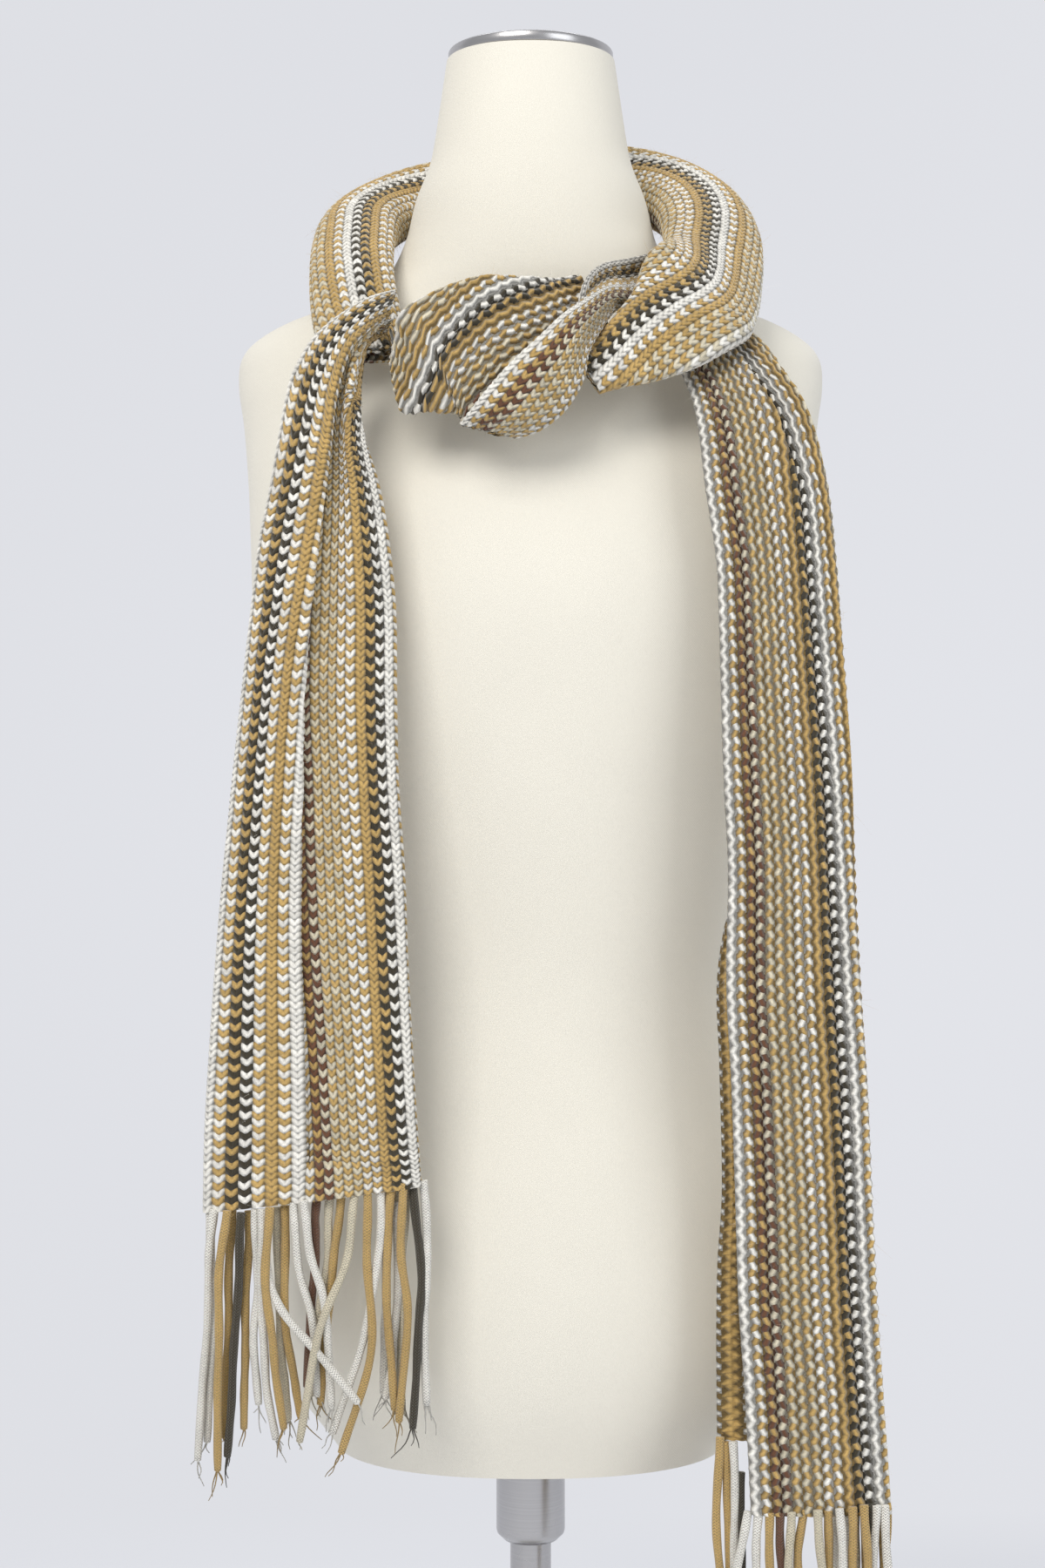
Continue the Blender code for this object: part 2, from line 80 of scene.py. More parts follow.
# Right tail, top to hem. Columns: left fold x, z, y; right outline x, z, y; reach of the first edge
# past the fold; where its long crease runs; how deep that lap is; yarn at the crease, past it, and
# at the right outline.
TAIL_RIGHT = [
    (0.0830, 1.1539, -0.0820, 0.1132, 1.1740, -0.0720, -0.0300, 0.7, 0.004, 15, 19, 24),
    (0.0868, 1.1378, -0.0940, 0.1293, 1.1615, -0.0850, -0.0300, 0.68, 0.004, 15.5, 18.6, 23.8),
    (0.0918, 1.1203, -0.1100, 0.1412, 1.1425, -0.1020, -0.0300, 0.7, 0.0035, 16, 18, 23.2),
    (0.0948, 1.0987, -0.1230, 0.1558, 1.1148, -0.1140, -0.0300, 0.72, 0.002, 16.5, 17.6, 22.6),
    (0.0975, 1.0680, -0.1330, 0.1661, 1.0716, -0.1230, -0.0300, 0.75, 0.0003, 17.7, 17.9, 22.2),
    (0.1032, 1.0287, -0.1360, 0.1707, 1.0296, -0.1260, -0.0300, 0.75, 0, 18, 18.1, 22.1),
    (0.1046, 0.9994, -0.1370, 0.1730, 1.0001, -0.1270, -0.0280, 0.75, 0, 18, 18.1, 22),
    (0.1059, 0.9507, -0.1380, 0.1763, 0.9510, -0.1280, -0.0220, 0.75, 0, 17.8, 17.9, 21.7),
    (0.1074, 0.9020, -0.1380, 0.1792, 0.9020, -0.1280, -0.0140, 0.75, 0, 17.6, 17.7, 21.4),
    (0.1098, 0.8533, -0.1380, 0.1812, 0.8530, -0.1280, -0.0060, 0.75, 0, 17.5, 17.6, 21.2),
    (0.1089, 0.7901, -0.1380, 0.1846, 0.7893, -0.1280, 0.0040, 0.75, 0, 17.4, 17.5, 21),
    (0.1118, 0.7317, -0.1380, 0.1885, 0.7305, -0.1280, 0.0060, 0.75, 0, 17.4, 17.5, 20.9),
    (0.1142, 0.6587, -0.1380, 0.1915, 0.6570, -0.1280, 0.0070, 0.75, 0, 17.2, 17.3, 20.8),
    (0.1157, 0.6101, -0.1380, 0.1939, 0.6080, -0.1280, 0.0110, 0.75, 0, 17.2, 17.3, 20.7),
    (0.1191, 0.5614, -0.1380, 0.1969, 0.5590, -0.1280, 0.0150, 0.75, 0, 17.1, 17.2, 20.6),
    (0.1225, 0.4943, -0.1380, 0.2013, 0.4914, -0.1280, 0.0180, 0.75, 0, 17, 17.1, 20.5),
]

# Collar and right band, from the left front round the back of the neck to the knot.
# Columns: centre x, y, z; turn and tip of the outer side in degrees; width, height; the
# part of the outer edge that is turned under; share of the cloth's width in this piece.
COLLAR = [
    (-0.092, -0.094, 1.138, -34, -46, 0.050, 0.018, 0.012, 1),
    (-0.100, -0.077, 1.171, -46, -40, 0.052, 0.022, 0.012, 1),
    (-0.105, -0.050, 1.203, -62, -28, 0.050, 0.026, 0.012, 1),
    (-0.106, -0.017, 1.229, -80, -12, 0.050, 0.028, 0.012, 1),
    (-0.102, 0.014, 1.246, -100, 4, 0.051, 0.035, 0.012, 1),
    (-0.088, 0.044, 1.263, -120, 22, 0.050, 0.035, 0.012, 1),
    (-0.062, 0.069, 1.279, -142, 38, 0.052, 0.029, 0.012, 1),
    (-0.026, 0.082, 1.287, -166, 50, 0.054, 0.026, 0.012, 1),
    (0.014, 0.086, 1.292, -187, 54, 0.056, 0.026, 0.012, 1),
    (0.052, 0.076, 1.291, -209, 46, 0.054, 0.028, 0.012, 1),
    (0.080, 0.052, 1.277, -230, 30, 0.057, 0.038, 0.012, 1),
    (0.100, 0.023, 1.259, -252, 10, 0.058, 0.038, 0.012, 1),
    (0.108, -0.012, 1.237, -273, -12, 0.060, 0.033, 0.010, 1),
    (0.107, -0.052, 1.210, -297, -36, 0.062, 0.024, 0.006, 1),
    (0.096, -0.098, 1.184, -325, -55, 0.075, 0.020, 0.003, 0.98),
    (0.079, -0.116, 1.164, -342, -70, 0.060, 0.017, 0.004, 0.85),
    (0.058, -0.123, 1.149, -350, -80, 0.044, 0.014, 0.014, 0.72),
    (0.043, -0.127, 1.139, -350, -80, 0.030, 0.012, 0.026, 0.62),
    (0.032, -0.128, 1.132, -350, -80, 0.022, 0.011, 0.032, 0.55),
]

# Strand across the front, from under the left tail to under the right band. Same columns.
STRAND = [
    (-0.111, -0.104, 1.120, 180, 80, 0.027, 0.013, 0.000, 1),
    (-0.092, -0.111, 1.124, 180, 80, 0.026, 0.013, 0.000, 1),
    (-0.075, -0.124, 1.126, 180, 80, 0.037, 0.013, 0.000, 1),
    (-0.062, -0.130, 1.133, 180, 80, 0.058, 0.016, 0.003, 1),
    (-0.051, -0.129, 1.139, 180, 80, 0.075, 0.021, 0.008, 1),
    (-0.033, -0.128, 1.144, 180, 80, 0.083, 0.022, 0.017, 1),
    (-0.014, -0.126, 1.150, 180, 80, 0.081, 0.022, 0.026, 1),
    (0.005, -0.119, 1.157, 180, 80, 0.067, 0.020, 0.036, 1),
    (0.022, -0.110, 1.164, 180, 80, 0.054, 0.017, 0.044, 1),
    (0.037, -0.102, 1.173, 180, 80, 0.044, 0.014, 0.046, 1),
]

# Wrap over the strand, top to bottom. Columns: ridge x, z; crest x, z, y; lower edge
# x, z, y; how far the part above the crest is tucked under it (0 to 1).
WRAP = [
    (0.072, 1.211, 0.069, 1.194, -0.084, 0.076, 1.180, -0.080, 0),
    (0.056, 1.205, 0.057, 1.188, -0.097, 0.064, 1.172, -0.093, 0),
    (0.040, 1.198, 0.044, 1.184, -0.114, 0.049, 1.173, -0.112, 0),
    (0.028, 1.189, 0.032, 1.174, -0.132, 0.038, 1.157, -0.132, 0.15),
    (0.019, 1.177, 0.018, 1.162, -0.147, 0.031, 1.142, -0.145, 0.6),
    (0.012, 1.157, 0.005, 1.149, -0.152, 0.029, 1.130, -0.147, 1),
    (-0.000, 1.142, -0.009, 1.136, -0.154, 0.025, 1.120, -0.147, 1),
    (-0.013, 1.128, -0.022, 1.122, -0.153, 0.017, 1.109, -0.144, 1),
    (-0.021, 1.117, -0.032, 1.110, -0.150, 0.004, 1.100, -0.140, 1),
    (-0.027, 1.107, -0.039, 1.102, -0.143, -0.009, 1.097, -0.134, 1),
]

# Form, bottom to neck. Columns: height, half width, front y, back y.
TORSO = [
    (0.500, 0.118, -0.088, 0.096), (0.545, 0.150, -0.104, 0.108), (0.590, 0.165, -0.110, 0.115),
    (0.650, 0.160, -0.106, 0.112), (0.720, 0.140, -0.096, 0.098), (0.787, 0.128, -0.092, 0.088),
    (0.860, 0.140, -0.100, 0.092), (0.940, 0.160, -0.112, 0.100), (1.000, 0.168, -0.119, 0.104),
    (1.040, 0.170, -0.118, 0.106), (1.080, 0.172, -0.108, 0.106), (1.120, 0.176, -0.088, 0.104),
    (1.145, 0.180, -0.074, 0.104), (1.163, 0.179, -0.064, 0.102), (1.175, 0.170, -0.057, 0.101),
    (1.186, 0.150, -0.055, 0.100), (1.196, 0.118, -0.056, 0.097), (1.210, 0.092, -0.059, 0.090),
    (1.232, 0.078, -0.060, 0.080), (1.258, 0.0707, -0.060, 0.070), (1.278, 0.0625, -0.059, 0.061),
    (1.295, 0.0587, -0.0575, 0.059), (1.343, 0.0515, -0.0515, 0.0515),
]


def smooth_rows(rows, q):
    """Rows of a table between its own rows, by Catmull-Rom; q counts rows."""
    p = np.asarray(rows, float)
    m = len(p)
    q = np.asarray(q, float)
    i = np.clip(q.astype(int), 0, m - 2)
    f = (q - i)[:, None]
    p1, p2 = p[i], p[i + 1]
    p0 = np.where((i == 0)[:, None], 2 * p1 - p2, p[np.clip(i - 1, 0, m - 1)])
    p3 = np.where((i == m - 2)[:, None], 2 * p2 - p1, p[np.clip(i + 2, 0, m - 1)])
    return 0.5 * (2 * p1 + (p2 - p0) * f + (2 * p0 - 5 * p1 + 4 * p2 - p3) * f**2
                  + (3 * p1 - p0 - 3 * p2 + p3) * f**3)


def curve(points, per=8):
    """A smooth curve through points (centripetal Catmull-Rom)."""
    p = np.asarray(points, float)
    a = np.vstack([2 * p[0] - p[1], p, 2 * p[-1] - p[-2]])
    out = []
    for i in range(1, len(a) - 2):
        p0, p1, p2, p3 = a[i - 1:i + 3]
        t1 = max(np.linalg.norm(p1 - p0), 1e-9) ** 0.5
        t2 = t1 + max(np.linalg.norm(p2 - p1), 1e-9) ** 0.5
        t3 = t2 + max(np.linalg.norm(p3 - p2), 1e-9) ** 0.5
        t = np.linspace(t1, t2, per, endpoint=False)[:, None]
        a1 = (t1 - t) / t1 * p0 + t / t1 * p1
        a2 = (t2 - t) / (t2 - t1) * p1 + (t - t1) / (t2 - t1) * p2
        a3 = (t3 - t) / (t3 - t2) * p2 + (t - t2) / (t3 - t2) * p3
        b1 = (t2 - t) / t2 * a1 + t / t2 * a2
        b2 = (t3 - t) / (t3 - t1) * a2 + (t - t1) / (t3 - t1) * a3
        out.append((t2 - t) / (t2 - t1) * b1 + (t - t1) / (t2 - t1) * b2)
    return np.vstack(out + [p[-1:]])


def arc(p):
    return np.concatenate([[0], np.cumsum(np.linalg.norm(np.diff(p, axis=0), axis=1))])


def cut(p, length):
    """The first `length` of a curve, run on straight where it is shorter."""
    a = arc(p)
    if a[-1] < length:
        d = (p[-1] - p[-2]) / np.linalg.norm(p[-1] - p[-2])
        return np.vstack([p, p[-1] + d * (length - a[-1])])
    k = int(np.searchsorted(a, length))
    f = (length - a[k - 1]) / (a[k] - a[k - 1])
    return np.vstack([p[:k], p[k - 1] + (p[k] - p[k - 1]) * f])


def even(p, n):
    """n points at even arc length, so that the wales keep one width."""
    a = arc(p)
    q = np.linspace(0, a[-1], n)
    return np.stack([np.interp(q, a, p[:, k]) for k in range(3)], 1)


BACK = np.array([0.0, 1.0, 0.0])


def across_of(a, b):
    d = np.array([b[0] - a[0], 0.0, b[2] - a[2]])
    return d / np.linalg.norm(d), np.linalg.norm(d)


def wrap_section(row, n):
    """The crest, its pleat or tuck, and the bulge down to the lower edge."""
    rx, rz, cx, cz, cy, ex, ez, ey, tuck = row
    c, e, r = np.array([cx, cy, cz]), np.array([ex, ey, ez]), np.array([rx, cy + 0.003, rz])
    u, wide = across_of(c, e)
    a0 = (r + BACK * 0.002) * (1 - tuck) + (c + u * 0.026 + BACK * 0.007) * tuck
    a1 = ((r + c) / 2 + BACK * 0.009) * (1 - tuck) + (c + u * 0.012 + BACK * 0.0055) * tuck
    pts = [a0, a1, c + BACK * 0.0005, c + u * 0.003 - BACK * 0.0015, (c + e) / 2 - BACK * 0.004,
           e - u * 0.003, e + BACK * 0.003, e - u * 0.006 + BACK * 0.007,
           e - u * 0.016 + BACK * 0.008]
    return even(curve(pts), n)


def roll_section(row, way, n):
    """The cloth rolled lengthwise into a flattened tube, outer edge first."""
    x, y, z, turn, tip, wide, high, lead, part = row
    t, r = radians(turn), radians(tip)
    out, up = np.array([sin(t), -cos(t), 0.0]), np.array([0, 0, 1.0])
    u = out * cos(r) + up * sin(r)
    v0 = up * cos(r) - out * sin(r)
    u = u - way * (u @ way)
    u /= np.linalg.norm(u)
    v = np.cross(way, u)
    v *= np.sign(v @ v0)
    th = np.radians(np.linspace(-200, 640, 1100))
    k = np.degrees(th) / 360 * ROLL_GAP
    a, b = np.maximum(wide / 2 - k, 0.002), np.maximum(high / 2 - k, 0.001)
    c, s = np.cos(th), np.sin(th)
    p = (np.array([x, y, z]) + (a * np.sign(c) * np.abs(c) ** 0.83)[:, None] * u
         + (b * np.sign(s) * np.abs(s) ** 0.83)[:, None] * v)
    along = arc(p)
    start = max(np.interp(0.0, th, along) - lead, 0.0)
    return even(cut(p[int(np.searchsorted(along, start)):], WIDTH * part), n)[::-1]


# ---- stitch patterns. The same arithmetic runs on numpy arrays, for the relief, and on
# shader values, for colour and fine relief.


class Val:
    """A value in a node tree, so that a pattern reads as arithmetic."""

    def __init__(self, tree, socket):
        self.t, self.s = tree, socket

    def op(self, kind, *others):
        n = self.t.nodes.new("ShaderNodeMath")
        n.operation = kind
        for i, x in enumerate((self, *others)):
            if isinstance(x, Val):
                self.t.links.new(x.s, n.inputs[i])
            else:
                n.inputs[i].default_value = float(x)
        return Val(self.t, n.outputs[0])

    def __add__(self, o):
        return self.op("ADD", o)

    __radd__ = __add__

    def __mul__(self, o):
        return self.op("MULTIPLY", o)

    __rmul__ = __mul__

    def __sub__(self, o):
        return self.op("SUBTRACT", o)

    def __rsub__(self, o):
        return self.op("MULTIPLY", -1.0).op("ADD", o)

    def __truediv__(self, o):
        return self.op("DIVIDE", o)


def floor_(a):
    return a.op("FLOOR") if isinstance(a, Val) else np.floor(a)


def abs_(a):
    return a.op("ABSOLUTE") if isinstance(a, Val) else np.abs(a)


def max_(a, b):
    return a.op("MAXIMUM", b) if isinstance(a, Val) else np.maximum(a, b)


def min_(a, b):
    return a.op("MINIMUM", b) if isinstance(a, Val) else np.minimum(a, b)


def over(a, b):
    return a.op("GREATER_THAN", b) if isinstance(a, Val) else (a > b) * 1.0


def sin_(a):
    return a.op("SINE") if isinstance(a, Val) else np.sin(a)


def stitch(u, v, side):
    """(height, yarn, along, across, row) of the stitch at u, v. On the face each row is a V
    whose point is towards the first hem; on the reverse it is one slanting stroke, and
    the slant turns from row to row."""
    u = min_(max_(u, 0.001), WALES - 0.001)
    wale = floor_(u)
    x = u - wale - 0.5
    best = None
    for step in (0, 1):
        row = floor_(v - 0.5) + step
        odd = row - 2.0 * floor_(row * 0.5)
        y = (v - row - 0.5) * ROW * 1000
        if side == "face":
            big = over(-1.0 * x, 0.0)
            a = abs_(x) * 5.35 - 1.02
            c, s, long, wide = 0.48, 0.877, 1.45, 1.27 + 0.16 * big
            along = a * c + y * s
            across = a * s - y * c
        else:
            a = x * 5.35
            c, s, long, wide = 0.45, 0.893, 1.95, 1.42
            turn = 1.0 - 2.0 * odd
            along = a * turn * c + y * s
            across = a * s - y * turn * c
        past = max_(abs_(along) - long, 0.0)
        d = (past * past + across * across) / (wide * wide)
        h = max_(1.0 - d, -0.9)
        lift = h - along * 0.10 if side == "face" else h + along * 0.10
        yarn = wale + odd
        if best is None:
            best = [lift, yarn, along, across, row]
        else:
            new = over(lift, best[0])
            now = [lift, yarn, along, across, row]
            best = [max_(lift, best[0])] + [best[k] + (now[k] - best[k]) * new for k in (1, 2, 3, 4)]
    return best


# ---- materials


def tree_of(name):
    m = bpy.data.materials.new(name)
    m.use_nodes = True
    t = m.node_tree
    b = t.nodes["Principled BSDF"]
    return m, t, b


def uv_values(t, name):
    n = t.nodes.new("ShaderNodeUVMap")
    n.uv_map = name
    s = t.nodes.new("ShaderNodeSeparateXYZ")
    t.links.new(n.outputs[0], s.inputs[0])
    return Val(t, s.outputs[0]), Val(t, s.outputs[1])


def combine(t, *xyz):
    n = t.nodes.new("ShaderNodeCombineXYZ")
    for i, x in enumerate(xyz):
        if isinstance(x, Val):
            t.links.new(x.s, n.inputs[i])
        else:
            n.inputs[i].default_value = float(x)
    return n.outputs[0]


def noise(t, vector, scale, detail=2.0):
    n = t.nodes.new("ShaderNodeTexNoise")
    n.inputs["Scale"].default_value = scale
    n.inputs["Detail"].default_value = detail
    t.links.new(vector, n.inputs["Vector"])
    return Val(t, n.outputs["Fac"] if "Fac" in n.outputs else n.outputs[0])


def white(t, vector):
    n = t.nodes.new("ShaderNodeTexWhiteNoise")
    n.noise_dimensions = "3D"
    t.links.new(vector, n.inputs["Vector"])
    return Val(t, n.outputs["Value"])


def yarn_ramp(t, yarn):
    """The 28 yarns' colours, as steps."""
    n = t.nodes.new("ShaderNodeValToRGB")
    r = n.color_ramp
    r.interpolation = "CONSTANT"
    while len(r.elements) > 1:
        r.elements.remove(r.elements[-1])
    r.elements[0].position = 0.0
    r.elements[0].color = (*TONES[YARNS[0]], 1)
    for i in range(1, 28):
        e = r.elements.new(i / 28)
        e.color = (*TONES[YARNS[i]], 1)
    f = (yarn + 0.5) / 28.0
    t.links.new(f.s, n.inputs[0])
    return n.outputs[0]


def scaled(t, colour, value):
    n = t.nodes.new("ShaderNodeVectorMath")
    n.operation = "SCALE"
    t.links.new(colour, n.inputs[0])
    t.links.new(value.s, n.inputs["Scale"])
    return n.outputs[0]


def bump(t, b, height, distance, strength=1.0):
    n = t.nodes.new("ShaderNodeBump")
    n.inputs["Strength"].default_value = strength
    n.inputs["Distance"].default_value = distance
    t.links.new(height.s, n.inputs["Height"])
    t.links.new(n.outputs[0], b.inputs["Normal"])


def wool(b, rough=0.95, sheen=0.35):
    b.inputs["Roughness"].default_value = rough
    b.inputs["Specular IOR Level"].default_value = 0.18
    b.inputs["Sheen Weight"].default_value = sheen
    b.inputs["Sheen Roughness"].default_value = 0.55
    b.inputs["Sheen Tint"].default_value = (1.0, 0.97, 0.9, 1)


def place(t):
    n = t.nodes.new("ShaderNodeTexCoord")
    return n.outputs["Object"]


def knit(side):
    m, t, b = tree_of("knit_" + side)
    u, v = uv_values(t, "stitch")
    # a slow waver keeps the rows from running like a ruled grid
    wob = sin_(u * 1.9 + v * 0.37) * 0.09
    wob2 = sin_(v * 1.3 - u * 0.8) * 0.025
    h, yarn, along, across, row = stitch(u + wob2, v + wob, side)
    seed = white(t, combine(t, yarn, row, 3.0))
    heather = noise(t, combine(t, yarn * 7.3, v * 0.35, 2.0), 1.0, 0.0)
    strand = noise(t, combine(t, along * 0.55 + across * 0.5, across * 2.4, row * 5.1 + yarn * 3.7), 1.3, 1.0)
    ply = sin_(along * 2.6 + across * 2.3)
    # painted shade: the yarn colour falls to 28% where the stitch surface is low, shade painted into the gaps
    # between the stitches' legs
    painted_gap_shade = min_(max_((h + 0.75) / 1.45, 0.0), 1.0)
    tone = (0.28 + 0.72 * painted_gap_shade) * (0.86 + 0.20 * seed) * (0.80 + 0.40 * heather) \
        * (0.66 + 0.68 * strand) * (1.0 + 0.05 * ply)
    t.links.new(scaled(t, yarn_ramp(t, yarn), tone * 1.06), b.inputs["Base Color"])
    wool(b)
    bump(t, b, max_(h, -0.6), 0.0011)
    return m


def rope_material(letter):
    """A fine knitted cord: small Vs up a twisted tube."""
    m, t, b = tree_of("cord_" + letter)
    u, v = uv_values(t, "stitch")
    turn = u * 6.0
    cell = turn - floor_(turn)
    leaf = v * 0.62 + abs_(cell - 0.5) * 1.5
    y = leaf - floor_(leaf) - 0.5
    h = 1.0 - 4.0 * (y * y) - 1.6 * abs_(abs_(cell - 0.5) - 0.25)
    grain = noise(t, combine(t, u * 9.0, v * 0.9, 1.0), 1.2, 1.0)
    slow = noise(t, combine(t, u * 0.5, v * 0.05, 9.0), 1.0, 1.0)
    # painted shade: the cord's colour falls to 62% in the low gaps between its small Vs
    painted_gap_shade = min_(max_((h + 0.5) / 1.3, 0.0), 1.0)
    tone = (0.62 + 0.64 * painted_gap_shade) * (0.74 + 0.54 * grain) * (0.88 + 0.32 * slow)
    c = t.nodes.new("ShaderNodeRGB")
    c.outputs[0].default_value = (*TONES[letter], 1)
    t.links.new(scaled(t, c.outputs[0], tone), b.inputs["Base Color"])
    wool(b)
    bump(t, b, h + grain * 0.5, 0.0007)
    return m


def hair_material():
    m, t, b = tree_of("loose_fibre")
    u, v = uv_values(t, "stitch")
    t.links.new(scaled(t, yarn_ramp(t, floor_(u + 0.5)), v * 0.0 + 1.1), b.inputs["Base Color"])
    wool(b, 0.8, 0.2)
    return m


def jersey_material():
    m, t, b = tree_of("form_jersey")
    p = place(t)
    s = t.nodes.new("ShaderNodeSeparateXYZ")
    t.links.new(p, s.inputs[0])
    x, y, z = (Val(t, s.outputs[i]) for i in range(3))
    rib = sin_(x * 5200.0 + y * 1100.0) * sin_(z * 4300.0)
    mott = noise(t, p, 14.0, 3.0)
    fine = noise(t, p, 900.0, 2.0)
    tone = 0.94 + 0.07 * mott + 0.05 * fine
    c = t.nodes.new("ShaderNodeRGB")
    c.outputs[0].default_value = (0.80, 0.765, 0.67, 1)
    t.links.new(scaled(t, c.outputs[0], tone), b.inputs["Base Color"])
    b.inputs["Roughness"].default_value = 0.88
    b.inputs["Specular IOR Level"].default_value = 0.2
    b.inputs["Sheen Weight"].default_value = 0.15
    bump(t, b, rib * 0.15 + fine * 0.6, 0.00025, 0.6)
    return m


def metal_material():
    m, t, b = tree_of("brushed_metal")
    p = place(t)
    s = t.nodes.new("ShaderNodeSeparateXYZ")
    t.links.new(p, s.inputs[0])
    z = Val(t, s.outputs[2])
    streak = noise(t, combine(t, z * 900.0, 0.0, 0.0), 1.0, 2.0)
    cloud = noise(t, p, 30.0, 2.0)
    b.inputs["Metallic"].default_value = 1.0
    c = t.nodes.new("ShaderNodeRGB")
    c.outputs[0].default_value = (0.50, 0.49, 0.49, 1)
    t.links.new(scaled(t, c.outputs[0], 0.85 + 0.3 * streak), b.inputs["Base Color"])
    rough = 0.22 + 0.14 * cloud
    t.links.new(rough.s, b.inputs["Roughness"])
    return m


def paint_material():
    m, t, b = tree_of("stand_paint")
    p = place(t)
    n1 = noise(t, p, 260.0, 2.0)
    c = t.nodes.new("ShaderNodeRGB")
    c.outputs[0].default_value = (0.60, 0.60, 0.585, 1)
    t.links.new(scaled(t, c.outputs[0], 0.95 + 0.1 * n1), b.inputs["Base Color"])
    b.inputs["Roughness"].default_value = 0.42
    bump(t, b, n1, 0.00008, 0.5)
    return m


FACE, REVERSE = knit("face"), knit("reverse")
CORDS = {k: rope_material(k) for k in TONES}
HAIR = hair_material()

# ---- meshes


def mesh_of(name, verts, quads, uvs=None, mats=(), index=None, smooth=True):
    """quads is (n, 4) or (n, 3); uvs is one pair for each corner."""
    me = bpy.data.meshes.new(name)
    n, k = quads.shape
    me.vertices.add(len(verts))
    me.vertices.foreach_set("co", np.asarray(verts, np.float32).ravel())
    me.loops.add(n * k)
    me.loops.foreach_set("vertex_index", quads.astype(np.int32).ravel())
    me.polygons.add(n)
    me.polygons.foreach_set("loop_start", np.arange(0, n * k, k, dtype=np.int32))
    me.polygons.foreach_set("loop_total", np.full(n, k, np.int32))
    if uvs is not None:
        layer = me.uv_layers.new(name="stitch")
        layer.data.foreach_set("uv", np.asarray(uvs, np.float32).ravel())
    for m in mats:
        me.materials.append(m)
    me.update(calc_edges=True)
    if index is not None:
        me.polygons.foreach_set("material_index", np.asarray(index, np.int32))
    me.polygons.foreach_set("use_smooth", np.full(n, smooth))
    me.update()
    ob = bpy.data.objects.new(name, me)
    bpy.context.scene.collection.objects.link(ob)
    return ob


def grid_faces(ns, nt, flip=False):
    i, j = np.meshgrid(np.arange(ns - 1), np.arange(nt - 1), indexing="ij")
    k = (i * nt + j).ravel()
    f = np.stack([k, k + 1, k + nt + 1, k + nt], 1)
    return f[:, ::-1] if flip else f


def shell(name, P, U, V, u_show, front, out):
    """A knitted stretch: the base surface P (rows by columns) offset to both sides with the
    stitches' relief. front is the side ("face" or "reverse") that looks along out."""
    ns, nt = P.shape[:2]
    a, b = np.gradient(P, axis=0), np.gradient(P, axis=1)
    N = np.cross(b, a)
    for _ in range(2):
        N[1:-1] = (N[:-2] + 2 * N[1:-1] + N[2:]) / 4
    N /= np.maximum(np.linalg.norm(N, axis=2, keepdims=True), 1e-12)
    if (N[out[0], out[1]] @ out[2]) < 0:
        N = -N
    uu, vv = np.meshgrid(U, V)
    back = "reverse" if front == "face" else "face"
    sides = []
    for side, sign in ((front, 1), (back, -1)):
        h = stitch(uu, vv, side)[0]
        rise = THIN + RELIEF * np.clip(h, -0.7, 1)
        sides.append(P + sign * N * rise[..., None])
    verts = np.concatenate([s.reshape(-1, 3) for s in sides])
    one = ns * nt
    test = np.cross(b, a)[out[0], out[1]] @ N[out[0], out[1]] > 0
    f = grid_faces(ns, nt)
    fa, fb = (f, f[:, ::-1] + one) if test else (f[:, ::-1], f + one)
    rim = []
    top, bot = np.arange(nt), (ns - 1) * nt + np.arange(nt)
    lef, rig = np.arange(ns) * nt, np.arange(ns) * nt + nt - 1
    for line, turn in ((top, True), (bot, False), (lef, False), (rig, True)):
        q = np.stack([line[:-1], line[1:], line[1:] + one, line[:-1] + one], 1)
        rim.append(q if turn == test else q[:, ::-1])
    rim = np.concatenate(rim)
    quads = np.concatenate([fa, fb, rim])
    uv = np.stack([np.tile(u_show, (ns, 1)), vv], -1).reshape(-1, 2)
    uvs = uv[quads.ravel() % one]
    mat = np.concatenate([np.full(len(fa), 0 if front == "face" else 1),
                          np.full(len(fb), 1 if front == "face" else 0),
                          np.full(len(rim), 0 if front == "face" else 1)])
    ob = mesh_of(name, verts, quads, uvs, (FACE, REVERSE), mat)
    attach(ob, "root")
    return ob, N


THIN, RELIEF = 0.0009, 0.00075
PER = 4  # columns a wale


def length_of(table, section):
    rows = np.asarray(table, float)
    q = np.linspace(0, len(rows) - 1, len(rows) * 10)
    dense = smooth_rows(rows, q)
    if section is roll_section:
        mid = dense[:, :3]
    else:
        mid = np.array([section(r, 12).mean(0) for r in dense])
    return q, dense, arc(mid)


def at_arc(p, where):
    a = arc(p)
    return np.stack([np.interp(where, a, p[:, k]) for k in range(3)], 1)


